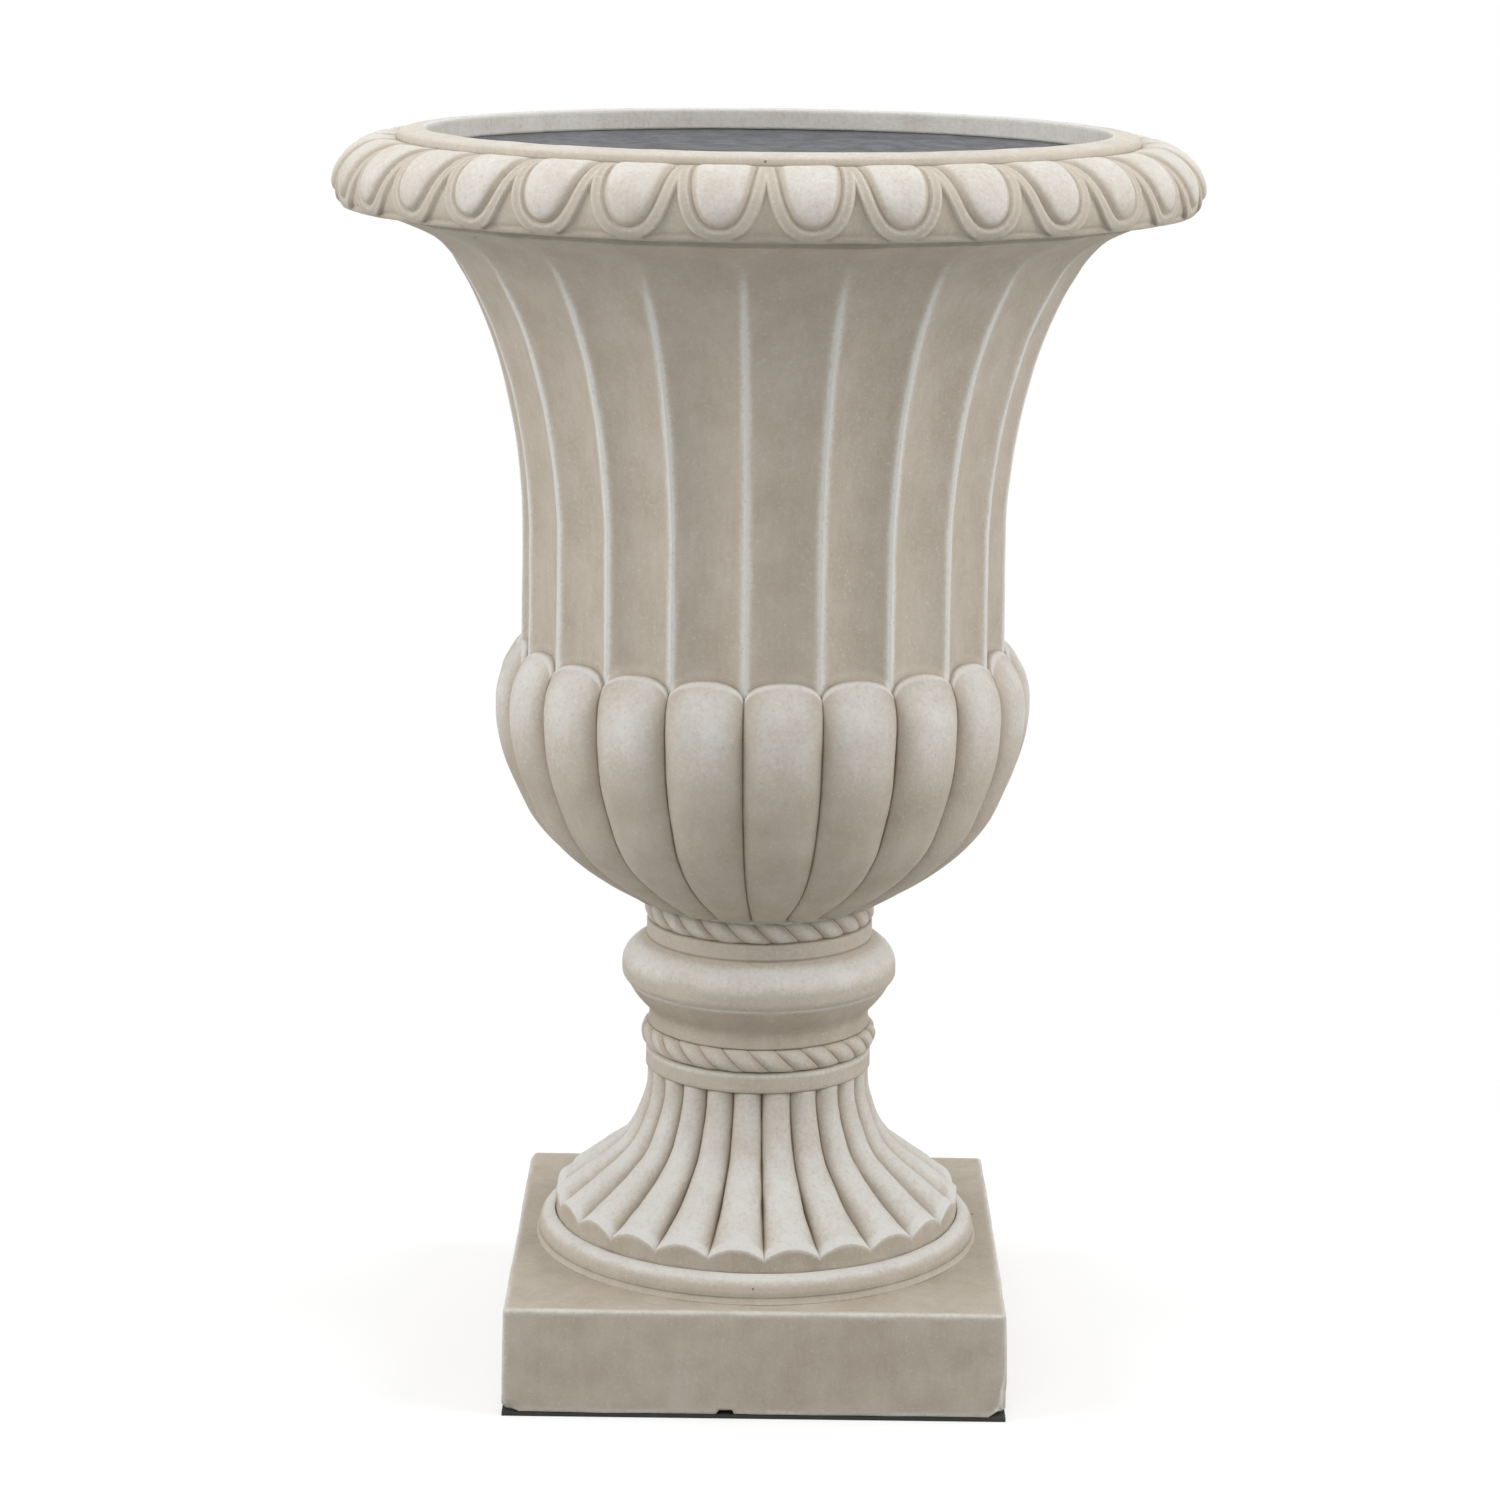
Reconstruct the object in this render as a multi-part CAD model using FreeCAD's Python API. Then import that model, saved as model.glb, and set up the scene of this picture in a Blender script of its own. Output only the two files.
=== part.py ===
"""Urn planter of three hollow castings: bowl, pedestal and plinth, clamped by a rod down the middle.

Millimetres, +Z up. The origin is at the middle of the underside, and the front faces -Y.
"""
import FreeCAD, Part
import os
from math import cos, pi, radians, sin

os.makedirs("parts", exist_ok=True)
Vector = FreeCAD.Vector
UP = Vector(0, 0, 1)
CENTRE = Vector(0, 0, 0)

# ---- Driving dimensions -------------------------------------------------------------------------------
# Base pad and plinth
pad_thickness = 2.3
pad_width = 30.0            # width of the pad's frame
pad_margin = 0.6            # the pad stays this far inside the plinth's edge
plinth_width = 282.4        # across the bottom
plinth_draft = 1.3          # each side leans in this much from bottom to top
plinth_height = 60.1
plinth_wall = 20.0
cavity_draft = 4.0
plinth_top_thickness = 21.0
plinth_edge_radius = 2.0
drain_opening_radius = 45.0
weep_width = 11.0
weep_height = 2.8
weep_offset = -16.0         # from the middle of the front edge

# Bead round the foot
bead_width = 10.4
bead_height = 15.0
bead_fit = 0.3              # between the foot and the inside of the bead
bead_shoulder = 0.35        # upright outside of the bead, of its height
bead_crown = 0.2            # top of its round, of its width from the foot
bead_bulge_width = 0.78     # point of its round between shoulder and crown
bead_bulge_height = 0.82

# Pedestal, from the bottom up
foot_radius = 117.3
foot_edge_height = 20.4     # plain face below the reeds, measured from the bedding
scallop_rise = 6.7          # the face reaches this much higher on the crown of a reed
reed_count = 23
reed_turn = 2.4             # azimuth of one valley between reeds
reed_height = 81.5
reed_top_radius = 64.3      # on the crown of a reed
reed_depth_top = 9.5
reed_fullness = 0.62        # a smaller one makes a rounder crest
reed_crown_flare = 2.45     # a larger one keeps the reeds slender for longer
reed_valley_flare = 2.8
lower_fillet_radius = 65.4
lower_fillet_height = 12.0
rope_height = 13.6
lower_rope_radius = 68.0
upper_rope_radius = 66.5
rope_bulge = 4.0            # the half-round ring stands this far out of its core
lower_rope_strands = 27
upper_rope_strands = 25
rope_relief = 1.8
rope_lean = 11.0            # azimuth through which a strand leans over the ring's height
strand_flat = 0.3           # half the flat crest, of half the strand's width
strand_least = 0.3          # relief that is left at the ring's edges, of the whole
scotia_height = 24.7
scotia_radius = 63.4        # narrowest
scotia_narrowest = 0.35     # where it is narrowest, of its height
torus_radius = 79.2
torus_edge_radius = 76.8    # sharp lower edge of the torus
torus_height = 27.0
torus_ledge = 0.8           # the scotia ends this far inside the torus's edge
torus_widest = 0.3          # where it is widest, of its height
torus_shoulder = 0.6        # where it turns in, of its height
torus_shoulder_inset = 2.2
torus_upper = 0.84          # point of its upper round, of its height
torus_upper_inset = 7.0
upper_fillet_radius = 64.9
upper_fillet_height = 9.5
stem_wall = 17.4            # at the narrowest of the stem
foot_wall = 25.3            # at the bottom of the foot
flare_edge_height = 10.0    # upright part of the hollow
flare_top = 0.35            # where the flare of the hollow starts, of the reeds' height from their top
flare_middle = 0.66         # and where its bend is
flare_middle_outset = 10.0
core_inset = 1.0            # the stem runs this far inside the back of a rope

# Bedding mortar
bedding_thickness = 1.5
bedding_inset = 2.0         # the mortar is raked back this far from the edge above it

# Bowl, from the bottom up
lobe_count = 21             # flutes and lobes share one count
lobe_turn = -4.0            # azimuth of one groove
neck_radius = 72.5          # on the crown of a lobe, at the seat
belly_radius = 152.7
belly_height = 111.8        # seat to widest point
arch_foot_height = 138.6    # seat to where the arches over the lobes spring from a groove
arch_rise = 10.5
arch_roundness = 2.2        # 2 is half an ellipse
lobe_fullness = 0.75        # a smaller one makes a rounder crown
lobe_relief = 9.7           # crown to groove, at the belly
lobe_top_radius = 138.0     # on the crown, under the top of the arch
lobe_top_bend = 2.3         # a larger one rounds the crown in nearer to the arch
lobe_tuck = 0.2             # part of the narrowing that comes in sharply at the neck
lobe_fade = 0.6             # part of the relief that is gone under the arches
waist_radius = 137.6
waist_height = 203.7        # seat to the narrowest point of the wall
flute_depth = 6.3           # arris to middle, at the waist
flute_depth_top = 4.0
wall_top_radius = 214.0     # where the wall runs in under the band
wall_top_height = 392.2     # seat to there
wall_flare = 0.4            # part of the widening that comes in sharply under the band
bowl_wall = 15.0
floor_thickness = 22.0
floor_corner = 9.0          # the wall is this much thicker, measured level, where it meets the floor

# Egg band and lip
egg_count = 32
egg_turn = -5.5             # azimuth of one egg's middle
band_radius = 239.4         # on the collars round the eggs
band_height = 38.0
band_round = 27.0           # height of its quarter round
band_undercut = 13.0        # how far the band's lower edge lies in from its widest part
band_fullness = 0.8         # a smaller one fills the quarter round out
band_shoulder = 0.9
band_tuck = 50.0            # below its widest point the band curves in by this and falls by the next
band_fall = 35.0            # over as much of the outline as the quarter round has
collar_relief = 2.6         # collars above the ground between them
collar_width = 6.0
collar_gap = 0.4            # half the gap between collars
collar_reach = 1.3          # where a collar closes; 1 is the widest point of the band
dome_reach = 1.05           # where an egg closes
egg_rise = 2.6              # domes above their collars
collar_squareness = 4.0     # a larger one keeps the collars wide for longer
dome_squareness = 3.0
dome_tip = 0.03             # keeps the foot of a dome from closing to a point
dome_flat = 0.55            # flat top of a dome, of its width
dome_roundness = 2.5        # along an egg, from the lip to its foot
lip_radius = 206.0
lip_height = 4.4
lip_width = 16.0
lip_chamfer = 2.2
lip_chamfer_height = 1.5
lip_ledge = 0.8             # flat between the lip's face and the collars
lip_band_height = 13.7      # plain inner face of the lip
lip_step = 1.5              # the wall steps out below it

# Drain holes and fasteners
drain_count = 3
drain_radius = 6.0
drain_circle_radius = 32.0
rod_radius = 6.0
rod_hole_fit = 1.0
rod_overhang = 6.0          # past each nut
rod_chamfer = 1.0
thread_fit = 0.15
washer_radius = 20.0
washer_thickness = 2.5
washer_fit = 0.5
seal_thickness = 3.0
nut_flats = 19.0
nut_height = 10.0
bar_width = 32.0
bar_thickness = 6.0
bar_bearing = 28.0          # length of the bar on the casting, each side of the drain opening

# Number of flats on the turned shapes of a casting
flats = 48

# Where the corners of a repeated form lie: across it from -1 to 1, and up it from 0 to 1
lobe_columns = (-1.0, -0.65, 0.0, 0.65)
lobe_rows = (0.0, 0.11, 0.25, 0.45, 0.7, 1.0)
arch_rows = (0.62, 1.0)
flute_rows = (0.42, 0.68, 0.83, 0.92, 0.97, 1.0)
reed_columns = (-1.0, -0.84, -0.35, 0.35, 0.84)
reed_rows = (0.2, 0.36, 0.56, 0.78, 1.0)
rope_rows = (0.0, 0.22, 0.78, 1.0)
band_rows = (0.0, 0.25, 0.6, 1.0, 1.2)
hollow_belly_row = 0.5      # the bend between the cone over the floor and the straight wall, to the belly
hollow_wall_rows = (0.35, 0.72)

# ---- Levels -------------------------------------------------------------------------------------------
plinth_bottom = pad_thickness
plinth_top = plinth_bottom + plinth_height
cavity_top = plinth_top - plinth_top_thickness
foot_bottom = plinth_top + bedding_thickness
reed_bottom = foot_bottom + foot_edge_height
lower_fillet_bottom = reed_bottom + reed_height
lower_rope_bottom = lower_fillet_bottom + lower_fillet_height
scotia_bottom = lower_rope_bottom + rope_height
torus_bottom = scotia_bottom + scotia_height
upper_fillet_bottom = torus_bottom + torus_height
upper_rope_bottom = upper_fillet_bottom + upper_fillet_height
pedestal_top = upper_rope_bottom + rope_height
bowl_seat = pedestal_top + bedding_thickness
bowl_floor = bowl_seat + floor_thickness
belly = bowl_seat + belly_height
arch_foot = bowl_seat + arch_foot_height
lobe_top = arch_foot + arch_rise
waist = bowl_seat + waist_height
wall_top = bowl_seat + wall_top_height
band_top = wall_top + band_height
rim_top = band_top + lip_height

# Radii of the hollow in the pedestal
pedestal_bore_top = scotia_radius - stem_wall
pedestal_bore_foot = foot_radius - foot_wall


# ---- Helpers ------------------------------------------------------------------------------------------
def at(radius, azimuth, height):
    """Point at a radius and height; azimuth in degrees, 0 at the front and 90 at the right."""
    turn = radians(azimuth)
    return Vector(radius * sin(turn), -radius * cos(turn), height)


def in_section(radius, height):
    """Point of a turned profile, in the half plane of azimuth 90."""
    return Vector(radius, 0, height)


def along_arc(start, middle, end, steps):
    """Points from start to end on the arc through middle."""
    return Part.Arc(start, middle, end).discretize(steps + 1)


def turned(points):
    """Solid of revolution about Z from the corners of its section."""
    return Part.Face(closed_polygon(points)).revolve(CENTRE, UP, 360)


def ring_corners(count, turn, shape_of_one):
    """Corners of a ring of equal waves. shape_of_one lists (share of the half step, radius, height)."""
    step = 360.0 / count
    corners = []
    for index in range(count):
        middle = turn + index * step
        corners += [at(radius, middle + share * step / 2, height) for share, radius, height in shape_of_one]
    return corners


def closed_polygon(corners):
    return Part.makePolygon(corners + corners[:1])


def wave(shares, valley_radius, crown_radius, height, fullness):
    """One convex or hollow wave between two valleys; a smaller fullness gives a rounder crest."""
    rise = crown_radius - valley_radius
    return [(share, valley_radius + rise * (1 - share * share) ** fullness, height) for share in shares]


def ruled(rings):
    """Solid through rings of corners, with a ruled face between two edges."""
    return Part.makeLoft([closed_polygon(ring) for ring in rings], True, True)


def skinned(rings, panels):
    """Solid through rings of corners. panels gives the flat faces between two edges."""
    faces = [Part.Face(closed_polygon(rings[0])), Part.Face(closed_polygon(rings[-1]))]
    for lower, upper in zip(rings, rings[1:]):
        for index in range(len(lower)):
            outlines = panels(lower[index - 1], lower[index], upper[index], upper[index - 1])
            faces += [Part.Face(closed_polygon(outline)) for outline in outlines]
    return Part.Solid(Part.Shell(faces))


def creased(rings):
    """Solid with two flat faces between two edges, for waves that lean or twist."""
    return skinned(rings, lambda a, b, c, d: [[a, b, c], [a, c, d]])


def many_sided(section):
    """Solid through regular polygons of (radius, height), for the turned shapes of a casting."""
    rings = [[at(radius, index * 360.0 / flats, height) for index in range(flats)]
             for radius, height in section]
    return skinned(rings, lambda a, b, c, d: [[a, b, c, d]])


def patterned(shape, count):
    """Equal copies of a shape round Z."""
    copies = []
    for index in range(count):
        copy = shape.copy()
        copy.rotate(CENTRE, UP, index * 360.0 / count)
        copies.append(copy)
    return copies


def upright_cylinder(radius, bottom, top):
    return Part.makeCylinder(radius, top - bottom, Vector(0, 0, bottom), UP)


def upright_edges(shape):
    return [edge for edge in shape.Edges if abs(edge.Vertexes[0].Z - edge.Vertexes[-1].Z) > 1]


def square_prism(half_bottom, half_top, bottom, top):
    """Upright block with a draft."""
    square = ((-1, -1), (1, -1), (1, 1), (-1, 1))
    return ruled([[Vector(x * half, y * half, height) for x, y in square]
                  for half, height in ((half_bottom, bottom), (half_top, top))])


# ---- Outlines that follow a rule ----------------------------------------------------------------------
def lobe_crown(height):
    """Radius on the crown of a lobe: rounded in above the belly, long curve down to the neck."""
    if height > belly:
        rise = (height - belly) / (lobe_top - belly)
        return belly_radius - (belly_radius - lobe_top_radius) * rise ** lobe_top_bend
    drop = (belly - height) / belly_height
    return belly_radius - (belly_radius - neck_radius) * ((1 - lobe_tuck) * drop ** 2 + lobe_tuck * drop ** 6)


def lobe_groove(height):
    """The groove gets shallower towards the neck and under the arches."""
    crown = lobe_crown(height)
    fade = 1.0
    if height > belly:
        fade = 1 - lobe_fade * ((height - belly) / (lobe_top - belly)) ** 1.5
    return crown - lobe_relief * (crown / belly_radius) ** 0.4 * fade


def wall_arris(height):
    """Radius on the arris between two flutes: bell-shaped, turning out sharply under the band."""
    rise = max(0.0, (height - waist) / (wall_top - waist))
    flare = (1 - wall_flare) * rise ** 2 + wall_flare * rise ** 11
    return waist_radius + (wall_top_radius - waist_radius) * flare


def flute_middle(height):
    """Radius in the middle of a flute, which is shallower towards the band."""
    rise = min(1.0, max(0.0, (height - waist) / (wall_top - waist)))
    return wall_arris(height) - flute_depth + (flute_depth - flute_depth_top) * rise ** 2


def arch_level(share):
    """Height of the arch over a lobe; share is 0 at the crown and 1 or -1 at a groove."""
    return arch_foot + arch_rise * (1 - abs(share) ** arch_roundness) ** (1 / arch_roundness)


def reed_crown(height):
    drop = (lower_fillet_bottom - height) / (reed_height - scallop_rise)
    return reed_top_radius + (foot_radius - reed_top_radius) * max(0.0, drop) ** reed_crown_flare


def reed_valley(height):
    top = reed_top_radius - reed_depth_top
    return top + (foot_radius - top) * ((lower_fillet_bottom - height) / reed_height) ** reed_valley_flare


# ---- Plinth and pad -----------------------------------------------------------------------------------
def make_base_pad():
    half = plinth_width / 2 - pad_margin
    inner = half - pad_width
    sheet = square_prism(half, half, 0, pad_thickness)
    return sheet.cut(square_prism(inner, inner, 0, pad_thickness))


def make_plinth():
    half = plinth_width / 2
    block = square_prism(half, half - plinth_draft, plinth_bottom, plinth_top)
    block = block.makeFillet(plinth_edge_radius, upright_edges(block))
    bead_inner = foot_radius + bead_fit
    bead_outer = bead_inner + bead_width
    shoulder = in_section(bead_outer, plinth_top + bead_height * bead_shoulder)
    crown = in_section(bead_inner + bead_width * bead_crown, plinth_top + bead_height)
    bulge = in_section(bead_inner + bead_width * bead_bulge_width,
                       plinth_top + bead_height * bead_bulge_height)
    bead = many_sided([(bead_outer, plinth_top)]
                      + [(point.x, point.z) for point in along_arc(shoulder, bulge, crown, 3)])
    bead = bead.cut(upright_cylinder(bead_inner, plinth_top, plinth_top + bead_height))
    inner = half - plinth_wall
    cavity = square_prism(inner, inner - cavity_draft, plinth_bottom, cavity_top)
    drain = upright_cylinder(drain_opening_radius, cavity_top, plinth_top)
    weep = Part.makeBox(weep_width, plinth_wall * 2, weep_height,
                        Vector(weep_offset - weep_width / 2, -half - plinth_wall / 2, plinth_bottom))
    return block.fuse(bead).removeSplitter().cut(cavity).cut(drain).cut(weep)


# ---- Pedestal -----------------------------------------------------------------------------------------
def rope_core(rope_radius):
    return rope_radius - rope_relief - rope_bulge


def rope_ring(bottom, rope_radius, strands):
    """Cable moulding: half-round ring of leaning strands."""
    rings = []
    for share in rope_rows:
        swell = (1 - (2 * share - 1) ** 2) ** 0.5
        valley = rope_core(rope_radius) + rope_bulge * swell
        crest = valley + rope_relief * (strand_least + (1 - strand_least) * swell)
        level = bottom + rope_height * share
        strand = [(-1.0, valley, level), (-strand_flat, crest, level), (strand_flat, crest, level)]
        rings.append(ring_corners(strands, -rope_lean * share, strand))
    return creased(rings)


def make_stem():
    """Turned stem between the reeds and the bowl, without the ropes' strands."""
    lower_core = rope_core(lower_rope_radius) - core_inset
    upper_core = rope_core(upper_rope_radius) - core_inset
    turn_in = in_section(torus_radius - torus_shoulder_inset, torus_bottom + torus_height * torus_shoulder)
    scotia = along_arc(in_section(lower_core, scotia_bottom),
                       in_section(scotia_radius, scotia_bottom + scotia_height * scotia_narrowest),
                       in_section(torus_edge_radius - torus_ledge, torus_bottom), 3)
    lower_torus = along_arc(in_section(torus_edge_radius, torus_bottom),
                            in_section(torus_radius, torus_bottom + torus_height * torus_widest), turn_in, 2)
    upper_round = in_section(torus_radius - torus_upper_inset, torus_bottom + torus_height * torus_upper)
    upper_torus = along_arc(turn_in, upper_round, in_section(upper_fillet_radius, upper_fillet_bottom), 3)
    return many_sided([(lower_fillet_radius, lower_fillet_bottom), (lower_fillet_radius, lower_rope_bottom),
                       (lower_core, lower_rope_bottom)]
                      + [(point.x, point.z) for point in scotia + lower_torus + upper_torus[1:]]
                      + [(upper_fillet_radius, upper_rope_bottom), (upper_core, upper_rope_bottom),
                         (upper_core, pedestal_top)])


def make_foot():
    """Flaring foot of convex reeds over an upright face with a scalloped edge."""
    turn = reed_turn + 180.0 / reed_count
    face = [(share, foot_radius, foot_bottom) for share in reed_columns]
    scallop = [(share, foot_radius, reed_bottom + scallop_rise * (1 - share * share) ** reed_fullness)
               for share in reed_columns]
    waves = [face, scallop]
    for share in reed_rows:
        level = reed_bottom + reed_height * share
        waves.append(wave(reed_columns, reed_valley(level), reed_crown(level), level, reed_fullness))
    return creased([ring_corners(reed_count, turn, ring) for ring in waves])


def make_pedestal():
    flare = along_arc(in_section(pedestal_bore_foot, foot_bottom + flare_edge_height),
                      in_section(pedestal_bore_top + flare_middle_outset,
                                 lower_fillet_bottom - reed_height * flare_middle),
                      in_section(pedestal_bore_top, lower_fillet_bottom - reed_height * flare_top), 2)
    hollow = many_sided([(pedestal_bore_foot, foot_bottom)] + [(point.x, point.z) for point in flare]
                        + [(pedestal_bore_top, pedestal_top)])
    ropes = [rope_ring(lower_rope_bottom, lower_rope_radius, lower_rope_strands),
             rope_ring(upper_rope_bottom, upper_rope_radius, upper_rope_strands)]
    return make_stem().multiFuse([make_foot()] + ropes).cut(hollow)


# ---- Bedding mortar -----------------------------------------------------------------------------------
def bedding_ring(outer, inner, bottom):
    ring = many_sided([(outer, bottom), (outer, bottom + bedding_thickness)])
    return ring.cut(many_sided([(inner, bottom), (inner, bottom + bedding_thickness)]))


def make_foot_bedding():
    return bedding_ring(foot_radius - bedding_inset, pedestal_bore_foot, plinth_top)


def make_bowl_bedding():
    return bedding_ring(rope_core(upper_rope_radius) - bedding_inset, pedestal_bore_top, pedestal_top)


# ---- Bowl ---------------------------------------------------------------------------------------------
def make_lobes_and_flutes():
    """Outside of the bowl in one skin: gadrooned lobes, the arch and ledge over each, and the fluted wall."""
    def lobe_at(share, level):
        return wave((share,), lobe_groove(level), lobe_crown(level), level, lobe_fullness)[0]

    def flute_at(share, level):
        return wave((share,), wall_arris(level), flute_middle(level), level, 1.0)[0]

    waves = []
    for row in lobe_rows:
        level = bowl_seat + belly_height * row
        waves.append([lobe_at(share, level) for share in lobe_columns])
    for row in arch_rows:
        waves.append([lobe_at(share, belly + (arch_level(share) - belly) * row) for share in lobe_columns])
    waves.append([flute_at(share, arch_level(share)) for share in lobe_columns])
    for row in flute_rows:
        level = lobe_top + (wall_top - lobe_top) * row
        waves.append([flute_at(share, level) for share in lobe_columns])
    turn = lobe_turn + 180.0 / lobe_count
    return creased([ring_corners(lobe_count, turn, ring) for ring in waves])


def band_point(share):
    """Radius and height on the collars: quarter round from the lip, 0, to the widest point, 1, then under."""
    if share > 1:
        return band_radius - band_tuck * (share - 1) ** 2, band_top - band_round - band_fall * (share - 1)
    turn = pi / 2 * share
    start = lip_radius + lip_ledge
    return (start + (band_radius - start) * sin(turn) ** band_fullness,
            band_top - band_round * (1 - cos(turn)) ** band_shoulder)


def band_ring(share, relief=1.0):
    """Corners of one ring of the egg band: joint, collar and dome of every egg, square to the outline."""
    radius, level = band_point(share)
    lean = pi / 2 * min(share, 1.0)
    half_step = pi * radius / egg_count
    collar = (1 - collar_gap / half_step) * (1 - (share / collar_reach) ** collar_squareness) ** 0.5
    dome = (1 - collar_width / half_step) * max(dome_tip, 1 - (share / dome_reach) ** dome_squareness) ** 0.5
    rise = egg_rise * max(0.0, 1 - abs(2 * share / dome_reach - 1) ** dome_roundness)
    outline = [(-1.0, -collar_relief), (-collar, 0.0), (-dome, 0.0), (-dome * dome_flat, rise),
               (dome * dome_flat, rise), (dome, 0.0), (collar, 0.0)]
    return ring_corners(egg_count, egg_turn,
                        [(side, radius + relief * lift * sin(lean), level + relief * lift * cos(lean))
                         for side, lift in outline])


def make_egg_band():
    """Quarter-round band of domed eggs, each in a U-shaped collar that stands off the ground."""
    rings = [band_ring(share, 1.0 if share else 0.0) for share in band_rows]
    inward = 1 - band_undercut / band_radius
    lower_edge = band_ring(band_rows[-1], 0.0)
    bottom = [Vector(corner.x * inward, corner.y * inward, wall_top) for corner in lower_edge]
    return creased(rings + [bottom])


def make_lip():
    top = lip_radius - lip_chamfer
    return turned([in_section(0, band_top), in_section(lip_radius, band_top),
                   in_section(lip_radius, rim_top - lip_chamfer_height), in_section(top, rim_top),
                   in_section(0, rim_top)])


def make_bowl_hollow():
    """Space inside the bowl: straight flares that keep the wall's thickness behind flutes and lobes."""
    mouth = lip_radius - lip_width
    step = rim_top - lip_band_height
    bend = bowl_floor + (belly - bowl_floor) * hollow_belly_row
    wall = [(lobe_groove(bowl_floor) - bowl_wall - floor_corner, bowl_floor),
            (lobe_groove(bend) - bowl_wall, bend),
            (flute_middle(waist) - bowl_wall, belly)]
    for row in hollow_wall_rows:
        level = waist + (wall_top - waist) * row
        wall.append((flute_middle(level) - bowl_wall, level))
    wall.append((mouth + lip_step, step))
    return many_sided(wall).fuse(upright_cylinder(mouth, step, rim_top))


def make_bowl():
    outside = make_lobes_and_flutes().multiFuse([make_egg_band(), make_lip()])
    bowl = outside.cut(make_bowl_hollow())
    holes = [upright_cylinder(rod_radius + rod_hole_fit, bowl_seat, bowl_floor)]
    drain = Part.makeCylinder(drain_radius, floor_thickness, at(drain_circle_radius, 0, bowl_seat))
    return bowl.cut(Part.makeCompound(holes + patterned(drain, drain_count)))


# ---- Fasteners ----------------------------------------------------------------------------------------
def washer(bottom, thickness):
    disc = upright_cylinder(washer_radius, bottom, bottom + thickness)
    return disc.cut(upright_cylinder(rod_radius + washer_fit, bottom, bottom + thickness))


def hexagon_nut(bottom):
    corner = nut_flats / 2 / cos(pi / 6)
    body = Part.Face(Part.makePolygon([at(corner, 60 * index, bottom) for index in range(7)]))
    thread = upright_cylinder(rod_radius + thread_fit, bottom, bottom + nut_height)
    return body.extrude(UP * nut_height).cut(thread)


def make_fasteners():
    washer_bottom = bowl_floor + seal_thickness
    nut_bottom = washer_bottom + washer_thickness
    bar_bottom = cavity_top - bar_thickness
    lower_washer_bottom = bar_bottom - washer_thickness
    lower_nut_bottom = lower_washer_bottom - nut_height
    rod = upright_cylinder(rod_radius, lower_nut_bottom - rod_overhang,
                           nut_bottom + nut_height + rod_overhang)
    ends = [edge for edge in rod.Edges if edge.Closed]
    half = drain_opening_radius + bar_bearing
    bar = Part.makeBox(2 * half, bar_width, bar_thickness, Vector(-half, -bar_width / 2, bar_bottom))
    return {
        "tie_rod": rod.makeChamfer(rod_chamfer, ends),
        "seal_washer": washer(bowl_floor, seal_thickness),
        "steel_washers": Part.makeCompound([washer(washer_bottom, washer_thickness),
                                            washer(lower_washer_bottom, washer_thickness)]),
        "nuts": Part.makeCompound([hexagon_nut(nut_bottom), hexagon_nut(lower_nut_bottom)]),
        "bridge_bar": bar.cut(upright_cylinder(rod_radius + rod_hole_fit, bar_bottom, cavity_top)),
    }


def main():
    nodes = {
        "bowl": make_bowl(),
        "pedestal": make_pedestal(),
        "plinth": make_plinth(),
        "bowl_bedding": make_bowl_bedding(),
        "foot_bedding": make_foot_bedding(),
        "base_pad": make_base_pad(),
    }
    nodes.update(make_fasteners())
    for name, shape in nodes.items():
        shape.exportStep("parts/" + name + ".step")
        print(name, "solids", len(shape.Solids), "valid", shape.isValid(), "faces", len(shape.Faces),
              "volume", round(shape.Volume / 1000, 1), "cm3")


main()
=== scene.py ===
"""Urn planter: carved castings, mortar, pad and fasteners, and the studio they stand in.

Lengths in the property groups are metres. Profiles are (height above the pad, radius) in millimetres.
Azimuths are degrees, 0 at the front (-Y) and 90 at the right (+X).
"""
from math import cos, pi, radians, sin

import bpy
import numpy as np
from mathutils import Matrix, Vector, noise


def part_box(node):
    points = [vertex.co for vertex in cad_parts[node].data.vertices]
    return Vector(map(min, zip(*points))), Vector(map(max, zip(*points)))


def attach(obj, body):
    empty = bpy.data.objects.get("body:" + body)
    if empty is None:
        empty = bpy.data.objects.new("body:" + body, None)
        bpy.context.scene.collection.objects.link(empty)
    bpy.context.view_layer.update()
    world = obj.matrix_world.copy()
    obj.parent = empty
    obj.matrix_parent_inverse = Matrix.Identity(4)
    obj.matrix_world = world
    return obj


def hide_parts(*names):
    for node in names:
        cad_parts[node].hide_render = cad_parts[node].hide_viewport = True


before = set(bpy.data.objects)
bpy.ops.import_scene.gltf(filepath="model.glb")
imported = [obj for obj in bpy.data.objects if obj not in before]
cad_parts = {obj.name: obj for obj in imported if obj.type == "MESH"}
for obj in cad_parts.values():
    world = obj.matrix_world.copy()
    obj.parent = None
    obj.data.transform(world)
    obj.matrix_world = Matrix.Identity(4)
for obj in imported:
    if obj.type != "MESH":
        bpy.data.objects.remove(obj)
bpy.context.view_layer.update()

bl_info = {
    "name": "Urn planter",
    "version": (1, 0, 0),
    "blender": (4, 5, 0),
    "location": "View3D > Sidebar > Urn planter",
    "description": "Builds a fluted and gadrooned urn planter with its finish and a plain studio",
    "category": "Object",
}

MM = 0.001
PAD_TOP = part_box("base_pad")[1][2] / MM      # heights in the profiles start here


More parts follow.
